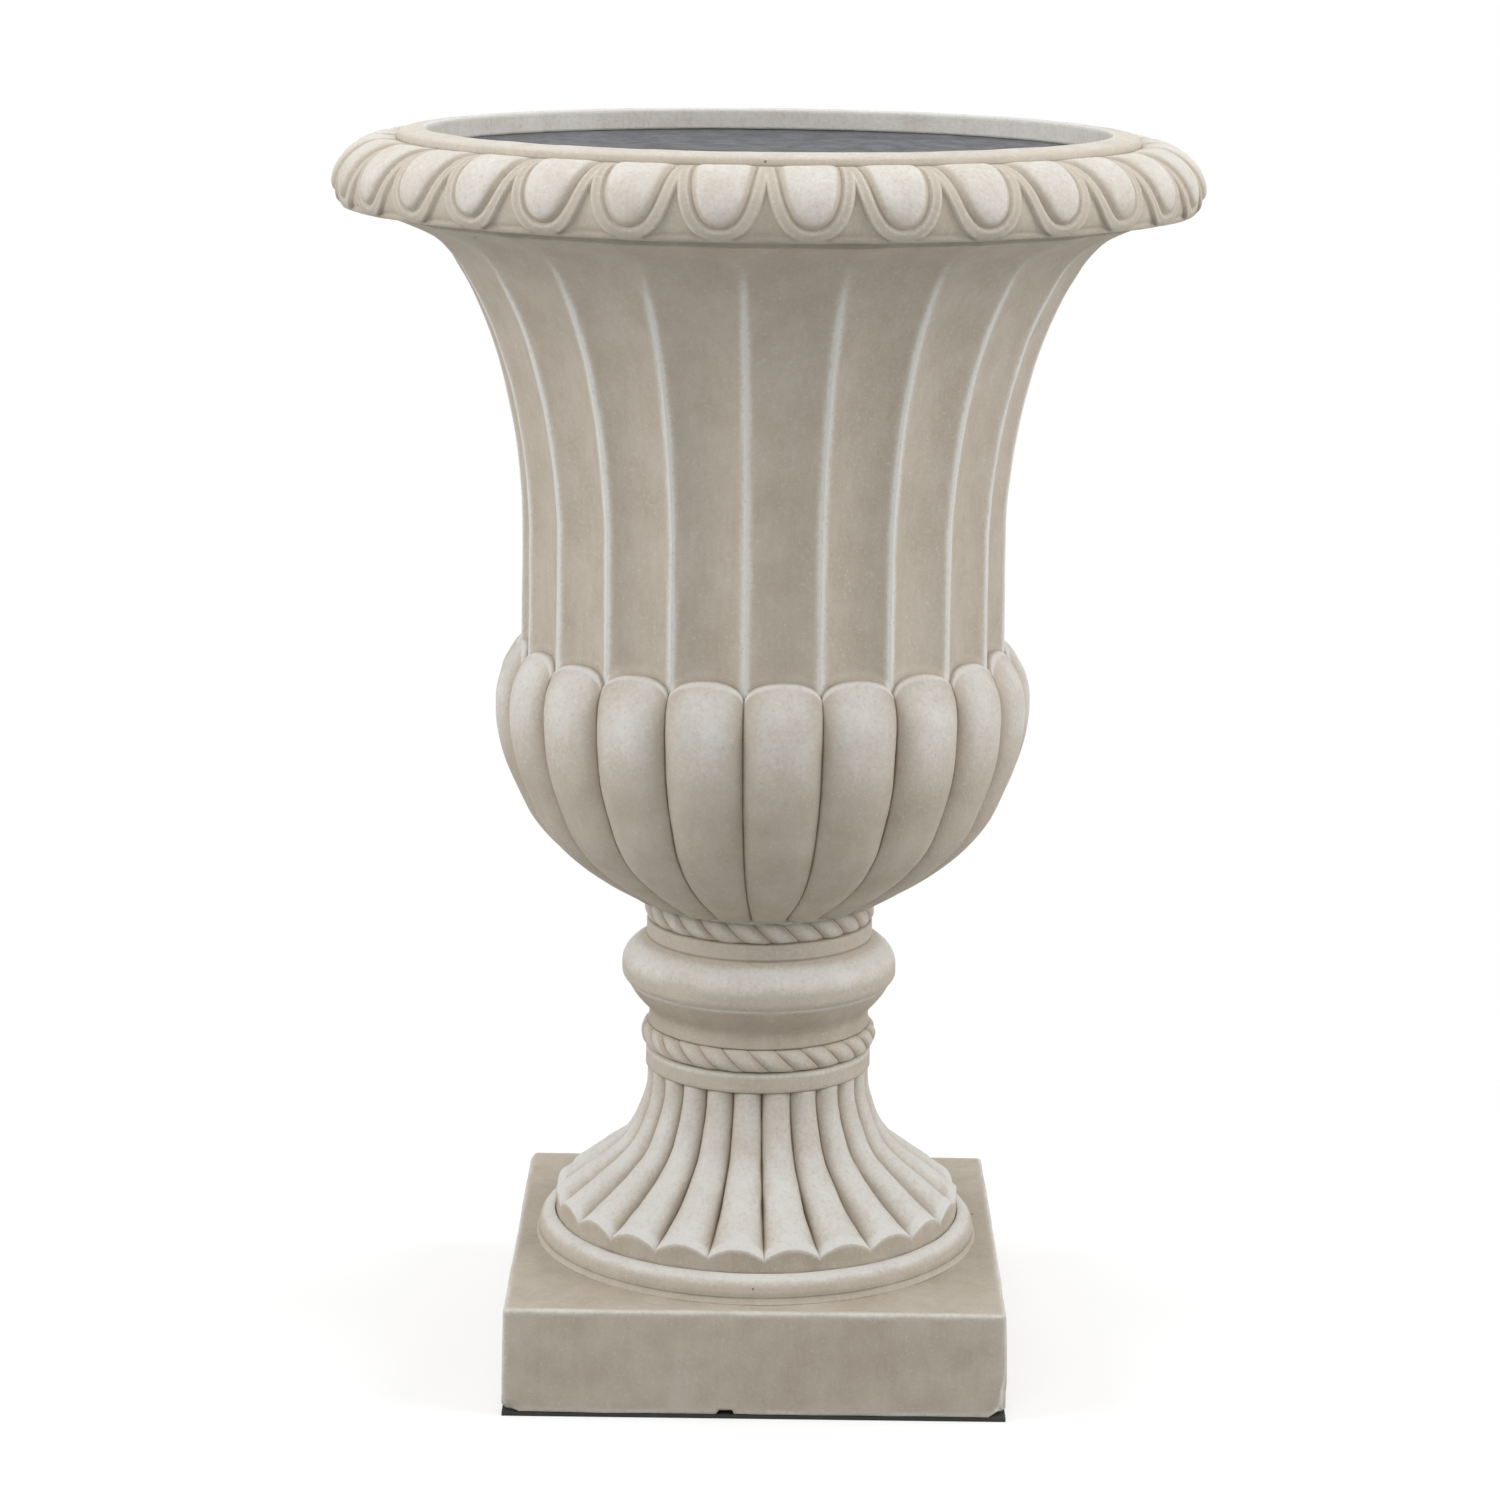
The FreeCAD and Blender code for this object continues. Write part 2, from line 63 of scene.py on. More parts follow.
# ---- Sizes and colours a user may change ---------------------------------------------------------
class UrnSizes(bpy.types.PropertyGroup):
    """Counts, turns and reliefs of the carved forms"""
    lobe_count: bpy.props.IntProperty(name="Flutes and lobes",
                                      description="Flutes on the wall and lobes below", default=21, min=8)
    lobe_turn: bpy.props.FloatProperty(name="Lobe turn", description="Azimuth of one groove between lobes",
                                       default=radians(-4.0), subtype="ANGLE")
    flute_depth: bpy.props.FloatProperty(name="Flute depth", description="Depth of a flute at the waist",
                                         default=0.0063, unit="LENGTH", subtype="DISTANCE")
    arch_height: bpy.props.FloatProperty(name="Arch height", description="Rise of the arch over a lobe",
                                         default=0.0105, unit="LENGTH", subtype="DISTANCE")
    egg_count: bpy.props.IntProperty(name="Eggs", description="Eggs round the band", default=32, min=8)
    egg_turn: bpy.props.FloatProperty(name="Egg turn", description="Azimuth of the middle of one egg",
                                      default=radians(-5.9), subtype="ANGLE")
    egg_rise: bpy.props.FloatProperty(name="Egg rise", description="Height of an egg above its groove",
                                      default=0.0026, unit="LENGTH", subtype="DISTANCE")
    collar_width: bpy.props.FloatProperty(name="Collar width", description="Width of the U round an egg",
                                          default=0.0062, unit="LENGTH", subtype="DISTANCE")
    collar_relief: bpy.props.FloatProperty(name="Collar relief",
                                           description="Height of the U over its ground",
                                           default=0.0026, unit="LENGTH", subtype="DISTANCE")
    reed_count: bpy.props.IntProperty(name="Reeds", description="Reeds round the foot", default=23, min=8)
    reed_turn: bpy.props.FloatProperty(name="Reed turn", description="Azimuth of one valley between reeds",
                                       default=radians(2.44), subtype="ANGLE")
    upper_strands: bpy.props.IntProperty(name="Upper strands", description="Strands of the upper rope",
                                         default=25, min=8)
    lower_strands: bpy.props.IntProperty(name="Lower strands", description="Strands of the lower rope",
                                         default=27, min=8)
    strand_relief: bpy.props.FloatProperty(name="Strand relief",
                                           description="Height of a strand over its joint",
                                           default=0.0017, unit="LENGTH", subtype="DISTANCE")
    strand_lean: bpy.props.FloatProperty(name="Strand lean",
                                         description="Turn of a strand over the rope's height",
                                         default=radians(12.0), subtype="ANGLE")
    camera_height: bpy.props.FloatProperty(name="Camera height",
                                           description="Height of the camera over the pad",
                                           default=0.8414, unit="LENGTH", subtype="DISTANCE")
    camera_distance: bpy.props.FloatProperty(name="Camera distance", description="From the urn's axis",
                                             default=2.2388, unit="LENGTH", subtype="DISTANCE")


def colour(name, description, red, green, blue):
    """Colour property from a display colour, 0 to 255."""
    linear = [((value / 255 + 0.055) / 1.055) ** 2.4 for value in (red, green, blue)]
    return bpy.props.FloatVectorProperty(name=name, description=description, subtype="COLOR", size=3,
                                         min=0, max=1, default=linear)


class UrnColours(bpy.types.PropertyGroup):
    """Colours of the finishes"""
    wash: colour("Wash", "Beige wash over the castings", 189, 180, 167)
    # Deep wash also serves as painted shade in the stem's scotia.
    deep_wash: colour("Deep wash", "Wash that has gathered in the hollows", 163, 151, 134)
    # Bloom also serves as painted highlight on the lip's top and inner band and on the torus's upper side.
    bloom: colour("Bloom", "Whitish colour dry-brushed on what stands proud", 216, 215, 211)
    # Lines: dirt in the narrow joints, and also painted shadow under the egg band and painted shade on its
    # underside.
    line: colour("Lines", "Dirt in the narrow joints of the carving", 104, 92, 75)
    bare: colour("Bare inside", "Unpainted grey inside of the bowl", 128, 129, 132)
    mortar: colour("Mortar", "Pale bedding mortar", 190, 185, 174)
    rubber: colour("Rubber", "Pad and seal", 58, 58, 56)
    steel: colour("Steel", "Zinc-plated fasteners", 168, 170, 172)


# ---- Node trees ----------------------------------------------------------------------------------
class Flow:
    """A socket's output in a node tree. Arithmetic on numbers adds Math nodes."""

    def __init__(self, sheet, socket):
        self.sheet = sheet
        self.socket = socket

    def math(self, operation, *others):
        return self.sheet.node("ShaderNodeMath", {"operation": operation},
                               dict(enumerate((self,) + others)))

    def __add__(self, other):
        return self.math("ADD", other)

    def __radd__(self, other):
        return self.math("ADD", other)

    def __sub__(self, other):
        return self.math("SUBTRACT", other)

    def __rsub__(self, other):
        return self.sheet.node("ShaderNodeMath", {"operation": "SUBTRACT"}, {0: other, 1: self})

    def __mul__(self, other):
        return self.math("MULTIPLY", other)

    def __rmul__(self, other):
        return self.math("MULTIPLY", other)

    def __truediv__(self, other):
        return self.math("DIVIDE", other)

    def __pow__(self, other):
        return self.math("POWER", other)

    def clamp(self):
        return self.sheet.node("ShaderNodeClamp", {}, {0: self})

    def step(self, low, high):
        """0 below low, 1 above high, smooth between; the other way round where low is the larger."""
        return self.sheet.node("ShaderNodeMapRange", {"interpolation_type": "SMOOTHSTEP"},
                               {"Value": self, "From Min": low, "From Max": high})


class Sheet:
    """A node tree under construction."""

    def __init__(self, tree):
        self.tree = tree
        tree.nodes.clear()

    def node(self, kind, settings, values, output=0):
        node = self.tree.nodes.new(kind)
        for name, value in settings.items():
            setattr(node, name, value)
        for key, value in values.items():
            socket = node.inputs[key]
            if isinstance(value, Flow):
                self.tree.links.new(value.socket, socket)
            else:
                socket.default_value = value
        return Flow(self, node.outputs[output])

    def mix(self, factor, first, second):
        """Mix of two colours."""
        return self.node("ShaderNodeMix", {"data_type": "RGBA"}, {0: factor, 6: first, 7: second}, 2)

    def attribute(self, name):
        return self.node("ShaderNodeAttribute", {"attribute_name": name}, {}, 2)

    def place(self):
        """Place on the object, in metres."""
        return self.node("ShaderNodeTexCoord", {}, {}, 3)

    def stretched(self, where, scale):
        return self.node("ShaderNodeMapping", {}, {0: where, "Scale": scale})

    def noise(self, where, scale, detail=3.0, roughness=0.55):
        """Cloudy noise from 0 to 1, with so many features to the metre."""
        return self.node("ShaderNodeTexNoise", {}, {"Vector": where, "Scale": scale, "Detail": detail,
                                                    "Roughness": roughness})

    def cell_chance(self, where, scale):
        """A random number for each cell of a Voronoi pattern."""
        cells = self.node("ShaderNodeTexVoronoi", {}, {"Vector": where, "Scale": scale}, 1)
        return self.node("ShaderNodeSeparateColor", {}, {0: cells})


def rgba(values, shade=1.0):
    """Colour for a socket, darker or lighter by a shade."""
    return (*[value * shade for value in values], 1.0)


def new_material(name, shader_values):
    """Material with its Principled shader's plain values set: the material, its sheet and that shader."""
    material = bpy.data.materials.new(name)
    material.use_nodes = True
    sheet = Sheet(material.node_tree)
    output = material.node_tree.nodes.new("ShaderNodeOutputMaterial")
    shader = material.node_tree.nodes.new("ShaderNodeBsdfPrincipled")
    material.node_tree.links.new(shader.outputs[0], output.inputs["Surface"])
    for key, value in shader_values.items():
        shader.inputs[key].default_value = value
    return material, sheet, shader


def finish_material(sheet, shader, colour_flow, roughness_flow, relief_flow, relief_mm):
    """Links colour, roughness and a bump of the given depth."""
    bump = sheet.node("ShaderNodeBump", {},
                      {"Strength": 1.0, "Distance": relief_mm * MM, "Height": relief_flow})
    for flow, key in ((colour_flow, "Base Color"), (roughness_flow, "Roughness"), (bump, "Normal")):
        sheet.tree.links.new(flow.socket, shader.inputs[key])


# Texture of the castings, in features to the metre
CLOUD_SCALE = 14.0
PATCH_SCALE = 55.0
BRUSH_SCALE = 260.0
GRAIN_SCALE = 420.0
FINE_SCALE = 1100.0
PINHOLE_SCALE = 46.0
STREAK_SCALE = 60.0
UPRIGHT = (1.0, 1.0, 0.16)          # stretches brush marks along Z
LEVEL = (1.0, 1.0, 9.0)             # squeezes streaks into level lines
PINHOLE_EDGE = (0.050, 0.024)       # from its rim to its bottom, in cells
PINHOLE_CHANCE = (0.88, 0.92)       # cells whose number is higher have one
STONE_RELIEF_MM = 0.45


def stone_material(colours):
    """Painted casting: beige wash, darker in hollows, whitish on what stands proud, with pinholes and grain.

    It follows three attributes of the carving: crest, line and inside. Crest also carries painted highlight
    and painted shade on some pieces, and line carries painted shadow under the egg band.
    """
    material, sheet, shader = new_material("stone_paint", {"Specular IOR Level": 0.25})
    where = sheet.place()
    crest = sheet.attribute("crest")
    line = sheet.attribute("line")
    inside = sheet.attribute("inside")

    clouds = sheet.noise(where, CLOUD_SCALE, 4.0)
    patches = sheet.noise(where, PATCH_SCALE, 4.0)
    grain = sheet.noise(where, GRAIN_SCALE, 3.0, 0.7)
    fine = sheet.noise(where, FINE_SCALE, 2.0, 0.6)
    brushed = sheet.noise(sheet.stretched(where, UPRIGHT), BRUSH_SCALE, 3.0, 0.6)

    mottle = (clouds - 0.5) * 0.60 + (patches - 0.5) * 0.80 + (brushed - 0.5) * 0.35
    # Deep wash in the hollows, and painted shade where a piece lowers its crest, as in the scotia.
    hollow = (0.55 - crest + mottle).step(0.1, 0.95)
    tone = sheet.mix(hollow * 0.8, rgba(colours.wash), rgba(colours.deep_wash))
    # Whitish dry-brushed bloom on raised parts, and painted highlight where a piece raises its crest to look
    # lit, as on the lip's top.
    proud = (crest + mottle * 0.8 + (grain - 0.5) * 0.55).step(0.15, 1.05)
    tone = sheet.mix(proud * 0.85, tone, rgba(colours.bloom))
    speckle = (grain - 0.5) * 0.34 + (fine - 0.5) * 0.30
    tone = sheet.mix((speckle * -1).step(0.02, 0.15) * 0.50, tone, rgba(colours.deep_wash))
    tone = sheet.mix(speckle.step(0.02, 0.15) * 0.46, tone, rgba(colours.bloom))

    # Dirt in the narrow joints, and painted shadow under the egg band, both from the line attribute.
    dirt_and_shade_lines = (line + (patches - 0.5) * 0.35 + (grain - 0.5) * 0.3).step(0.35, 0.95)
    tone = sheet.mix(dirt_and_shade_lines * 0.62, tone, rgba(colours.line))

    cell = sheet.node("ShaderNodeTexVoronoi", {}, {"Vector": where, "Scale": PINHOLE_SCALE})
    chance = sheet.cell_chance(where, PINHOLE_SCALE)
    holes = cell.step(*PINHOLE_EDGE) * (chance + line * 0.45).step(*PINHOLE_CHANCE)
    tone = sheet.mix(holes * 0.85, tone, rgba(colours.line, 0.6))

    streaks = sheet.noise(sheet.stretched(where, LEVEL), STREAK_SCALE, 5.0, 0.7)
    grey = sheet.mix(streaks.step(0.3, 0.75), rgba(colours.bare, 0.72), rgba(colours.bare, 1.12))
    tone = sheet.mix(inside.step(0.4, 0.6), tone, grey)

    roughness = 0.72 - proud * 0.10 + holes * 0.2
    relief = (clouds * 0.9 + patches * 1.0 + grain * 0.55 + fine * 0.2 - holes * 1.6
              + inside * streaks * 0.8)
    finish_material(sheet, shader, tone, roughness, relief, STONE_RELIEF_MM)
    return material


def mortar_material(colours):
    """Pale mortar with a sandy, pitted surface."""
    material, sheet, shader = new_material("bedding_mortar", {"Specular IOR Level": 0.2})
    where = sheet.place()
    lumps = sheet.noise(where, 120.0, 4.0, 0.65)
    sand = sheet.noise(where, 900.0, 2.0, 0.7)
    pits = (lumps * 0.7 + sand * 0.3).step(0.62, 0.36)
    tone = sheet.mix(pits * 0.8, rgba(colours.mortar), rgba(colours.mortar, 0.62))
    finish_material(sheet, shader, tone, 0.85 - sand * 0.1, lumps + sand * 0.3, 0.8)
    return material


def rubber_material(colours):
    """Dusty black rubber."""
    material, sheet, shader = new_material("dusty_rubber", {"Specular IOR Level": 0.3})
    where = sheet.place()
    dust = sheet.noise(where, 70.0, 5.0, 0.65)
    grain = sheet.noise(where, 900.0, 2.0)
    tone = sheet.mix(dust.step(0.45, 0.8) * 0.5, rgba(colours.rubber), rgba(colours.rubber, 2.2))
    finish_material(sheet, shader, tone, 0.7 + dust * 0.2, grain, 0.15)
    return material


def steel_material(colours):
    """Zinc plate: cloudy, with fine scratches."""
    material, sheet, shader = new_material("zinc_plate", {"Metallic": 1.0})
    where = sheet.place()
    spangle = sheet.cell_chance(where, 320.0)
    cloud = sheet.noise(where, 180.0, 4.0)
    fine = sheet.noise(where, 1500.0, 2.0)
    bright = (spangle * 0.5 + cloud * 0.6).step(0.2, 0.9)
    tone = sheet.mix(bright, rgba(colours.steel, 0.62), rgba(colours.steel))
    finish_material(sheet, shader, tone, 0.32 + cloud * 0.25 + spangle * 0.08, fine, 0.05)
    return material


def pick_material(maker):
    """The material that maker builds, made once."""
    key = maker.__name__
    if key not in made_materials:
        made_materials[key] = maker(bpy.context.scene.urn_colours)
    return made_materials[key]


made_materials = {}


# ---- Shapes --------------------------------------------------------------------------------------
def smooth_through(points):
    """Function of height through (height, radius) points, smooth at each."""
    knots = np.array([point[0] for point in points], float)
    values = np.array([point[1] for point in points], float)
    slopes = np.gradient(values, knots)

    def curve(height):
        height = np.clip(height, knots[0], knots[-1])
        place = np.clip(np.searchsorted(knots, height, side="right") - 1, 0, len(knots) - 2)
        width = knots[place + 1] - knots[place]
        share = (height - knots[place]) / width
        start, end = values[place], values[place + 1]
        rise = width * slopes[place], width * slopes[place + 1]
        return (start * (1 + 2 * share) * (1 - share) ** 2 + rise[0] * share * (1 - share) ** 2
                + end * share ** 2 * (3 - 2 * share) - rise[1] * share ** 2 * (1 - share))

    return curve


def ease(value, low, high):
    """Smooth step from 0 at low to 1 at high."""
    share = np.clip((value - low) / (high - low), 0, 1)
    return share * share * (3 - 2 * share)


def near_one(side, half_width, reach):
    """1 where |side| is 1, fading over a reach; both widths in the same unit."""
    return np.exp(-((1 - np.abs(side)) * half_width / reach) ** 2)


def wedge_object(name, count, side, radius, height, masks, lean=0.0):
    """One sector of a ring, closed in section. Arrays are [row, column]; side runs from -1 to 1."""
    rows, columns = np.broadcast_shapes(np.shape(side), np.shape(radius), np.shape(height))
    side, radius, height, lean = [np.broadcast_to(part, (rows, columns))
                                  for part in (side, radius, height, lean)]
    azimuth = side * pi / count + lean
    corners = np.stack([radius * np.sin(azimuth), -radius * np.cos(azimuth), height + PAD_TOP], -1) * MM
    index = np.arange(rows * columns).reshape(rows, columns)
    above = np.roll(index, -1, 0)
    faces = np.stack([index[:, :-1], index[:, 1:], above[:, 1:], above[:, :-1]], -1).reshape(-1, 4)
    mesh = bpy.data.meshes.new(name)
    mesh.from_pydata(corners.reshape(-1, 3).tolist(), [], faces.tolist())
    for key in ("crest", "line", "inside"):
        layer = mesh.attributes.new(key, "FLOAT", "POINT")
        values = np.broadcast_to(masks.get(key, 0.0), (rows, columns)).reshape(-1)
        layer.data.foreach_set("value", values.astype(np.float32))
    wedge = bpy.data.objects.new(name, mesh)
    bpy.context.collection.objects.link(wedge)
    return wedge


def repeat_tree():
    """Geometry nodes that repeat a sector round Z, join the copies and give them a material."""
    if "Repeat round Z" in bpy.data.node_groups:
        return bpy.data.node_groups["Repeat round Z"]
    tree = bpy.data.node_groups.new("Repeat round Z", "GeometryNodeTree")
    tree.interface.new_socket("Geometry", in_out="INPUT", socket_type="NodeSocketGeometry")
    tree.interface.new_socket("Count", in_out="INPUT", socket_type="NodeSocketInt")
    tree.interface.new_socket("Turn", in_out="INPUT", socket_type="NodeSocketFloat")
    tree.interface.new_socket("Join distance", in_out="INPUT", socket_type="NodeSocketFloat")
    tree.interface.new_socket("Material", in_out="INPUT", socket_type="NodeSocketMaterial")
    tree.interface.new_socket("Geometry", in_out="OUTPUT", socket_type="NodeSocketGeometry")
    sheet = Sheet(tree)
    given = tree.nodes.new("NodeGroupInput")
    sector, count, turn, join, material = [Flow(sheet, given.outputs[index]) for index in range(5)]
    points = sheet.node("GeometryNodePoints", {}, {"Count": count})
    place = sheet.node("GeometryNodeInputIndex", {}, {})
    angle = place * (2 * pi) / count + turn
    rotation = sheet.node("ShaderNodeCombineXYZ", {}, {"Z": angle})
    copies = sheet.node("GeometryNodeInstanceOnPoints", {},
                        {"Points": points, "Instance": sector, "Rotation": rotation})
    solid = sheet.node("GeometryNodeRealizeInstances", {}, {0: copies})
    solid = sheet.node("GeometryNodeMergeByDistance", {}, {"Geometry": solid, "Distance": join})
    solid = sheet.node("GeometryNodeSetShadeSmooth", {}, {"Geometry": solid, "Shade Smooth": True})
    solid = sheet.node("GeometryNodeSetMaterial", {}, {"Geometry": solid, "Material": material})
    result = tree.nodes.new("NodeGroupOutput")
    tree.links.new(solid.socket, result.inputs[0])
    return tree


def repeated(wedge, count, turn, material):
    """Plain ring of equal sectors."""
    tree = repeat_tree()
    modifier = wedge.modifiers.new("Repeat", "NODES")
    modifier.node_group = tree
    values = {"Count": count, "Turn": turn, "Join distance": 0.02 * MM, "Material": material}
    for item in tree.interface.items_tree:
        if item.in_out == "INPUT" and item.name in values:
            modifier[item.identifier] = values[item.name]
    graph = bpy.context.evaluated_depsgraph_get()
    mesh = bpy.data.meshes.new_from_object(wedge.evaluated_get(graph), preserve_all_data_layers=True,
                                           depsgraph=graph)
    wedge.modifiers.remove(modifier)
    old = wedge.data
    wedge.data = mesh
    bpy.data.meshes.remove(old)
    return wedge


def stacked(side, *parts):
    """Rows of a sector, one part under the other, each spread over the sector's columns."""
    return np.concatenate([part + 0 * side for part in parts])


def divided(points, rows_per_mm):
    """Rows of height and radius, evenly spaced between (height, radius) corners."""
    heights, radii = [], []
    for (z0, r0), (z1, r1) in zip(points, points[1:]):
        steps = max(1, int(round(np.hypot(z1 - z0, r1 - r0) * rows_per_mm)))
        for step in range(steps):
            heights.append(z0 + (z1 - z0) * step / steps)
            radii.append(r0 + (r1 - r0) * step / steps)
    heights.append(points[-1][0])
    radii.append(points[-1][1])
    return np.array(heights)[:, None], np.array(radii)[:, None]


CHIP_GRAIN = 0.006          # size of the lumps on a broken face, in metres
CHIP_ROUGHNESS = 1.1 * MM
CHIP_MARGIN = 0.5 * MM


def weather(piece, depth, size, seed, chips=()):
    """Uneven casting: pushes corners in and out by noise, and breaks chips off along rough planes.

    Depth and size are those of the unevenness, in metres, and seed is a place in the noise. Each chip
    is a point on its plane in millimetres over the pad, and the direction that it broke off in.
    """
    mesh = piece.data
    count = len(mesh.vertices)
    corners = np.empty(count * 3)
    normals = np.empty(count * 3)
    mesh.vertices.foreach_get("co", corners)
    mesh.vertex_normals.foreach_get("vector", normals)
    corners, normals = corners.reshape(-1, 3), normals.reshape(-1, 3)
    shift = Vector((seed, seed * 0.7, seed * 1.3))
    push = [noise.fractal(Vector(corner) / size + shift, 0.6, 2.0, 3) for corner in corners]
    corners += normals * (np.array(push) * depth)[:, None]
    for point, direction in chips:
        way = np.array(Vector(direction).normalized())
        beyond = (corners - (np.array(point) + (0, 0, PAD_TOP)) * MM) @ way
        for index in np.flatnonzero(beyond > -CHIP_MARGIN):
            place = Vector(corners[index]) / CHIP_GRAIN + shift
            ragged = noise.fractal(place, 0.7, 2.0, 3) * CHIP_ROUGHNESS
            corners[index] -= way * max(0.0, beyond[index] - ragged)
    mesh.vertices.foreach_set("co", corners.reshape(-1))
    mesh.update()


def box_mesh(name, lower, upper):
    """Block between two rectangles, each given as left, right, front, back and height in millimetres."""
    corners = []
    for left, right, front, back, height in (lower, upper):
        corners += [(left, front, height), (right, front, height), (right, back, height),
                    (left, back, height)]
    mesh = bpy.data.meshes.new(name)
    mesh.from_pydata([Vector(corner) * MM for corner in corners], [],
                     [[3, 2, 1, 0], [4, 5, 6, 7], [0, 1, 5, 4], [1, 2, 6, 5], [2, 3, 7, 6], [3, 0, 4, 7]])
    return mesh


def cylinder_mesh(name, radius, bottom, top, x=0.0, y=0.0, sides=64):
    """Upright round bar, in millimetres."""
    ring = [(x + radius * cos(2 * pi * index / sides), y + radius * sin(2 * pi * index / sides))
            for index in range(sides)]
    corners = [(px * MM, py * MM, level * MM) for level in (bottom, top) for px, py in ring]
    faces = [list(range(sides))[::-1], list(range(sides, 2 * sides))]
    for index in range(sides):
        following = (index + 1) % sides
        faces.append([index, following, following + sides, index + sides])
    mesh = bpy.data.meshes.new(name)
    mesh.from_pydata(corners, [], faces)
    return mesh


def cut_away(piece, tools):
    """Cuts closed meshes out of a piece."""
    for mesh in tools:
        tool = bpy.data.objects.new("cutter", mesh)
        bpy.context.collection.objects.link(tool)
        modifier = piece.modifiers.new("Cut", "BOOLEAN")
        modifier.operation = "DIFFERENCE"
        modifier.solver = "MANIFOLD"
        modifier.object = tool
        graph = bpy.context.evaluated_depsgraph_get()
        result = bpy.data.meshes.new_from_object(piece.evaluated_get(graph), preserve_all_data_layers=True,
                                                 depsgraph=graph)
        piece.modifiers.remove(modifier)
        old = piece.data
        piece.data = result
        bpy.data.meshes.remove(old)
        bpy.data.objects.remove(tool)
        bpy.data.meshes.remove(mesh)


def settle(piece, node):
    """Lets a finished piece ride with the urn and stand for its CAD node, which it hides."""
    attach(piece, "root")
    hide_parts(node)


# ---- Bowl -----------------------------------------------------------------------------------------
ARRIS = smooth_through([
    (400, 138.6), (428, 138.1), (464, 137.8), (494, 138.1), (528, 141.6), (566, 149.4),
    (598, 159.9), (622, 171.8), (636, 181.0), (646, 192.5), (652, 206.0), (656, 216.0)])
LOBE_CROWN = smooth_through([
    (258, 60), (262, 67.5), (268, 76.7), (278, 93.5), (294, 114.7), (312, 130.8), (332, 141.1),
    (356, 149.8), (376, 152.7), (390, 151.8), (398, 149.3), (404, 145.9), (410, 141.8), (415, 136.4)])
LOBE_RELIEF = smooth_through([
    (258, 8.0), (275, 7.8), (292, 6.8), (332, 7.6), (352, 8.6), (376, 9.7), (392, 7.4), (404, 4.4),
    (415, 3.2)])
BOWL_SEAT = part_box("bowl")[0][2] / MM - PAD_TOP
BOWL_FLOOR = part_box("seal_washer")[0][2] / MM - PAD_TOP
ROD_HOLE = 7.0
BOWL_INSIDE = [
    (691, 200), (691, 191.5), (689.3, 191.5), (636, 163), (605, 143), (570, 131), (535, 122.8),
    (440, 118.5), (377, 116.5), (345, 117), (332, 116), (BOWL_FLOOR + 1.5, 74.5), (BOWL_FLOOR, 72),
    (BOWL_FLOOR, ROD_HOLE), (BOWL_SEAT, ROD_HOLE)]
PAINT_END = 690.0           # the inside is unpainted below this height
WALL_TOP = 655.0
FLUTE_FADE = (560, 650)     # flutes get shallower between these heights
FLUTE_SHALLOWEST = 0.65     # of their depth
ARRIS_WEAR = 0.7            # worn off the arris, over the reach that follows
ARRIS_WEAR_REACH = 1.3
ARCH_FOOT = 404.0
ARCH_GAP = 0.5              # flutes start this far over the arches
LEDGE_OUTER_RISE = 0.55     # the ledge's outer row, over the arches
LEDGE_OUTER_INSET = 1.3     # and in from the lobes' edge
LEDGE_INNER_RISE = 0.9      # its inner row, two thirds of the way from the next value to the flutes
LEDGE_INNER_INSET = 0.7
DRAIN_CIRCLE = 32.0
DRAIN_RADIUS = 6.0
DRAIN_AZIMUTHS = (0.0, 120.0, 240.0)
CUT_OVER = 5.0              # cutters reach this far past the faces that they cut
BOWL_UNEVEN = (0.35 * MM, 0.045, 3.0)


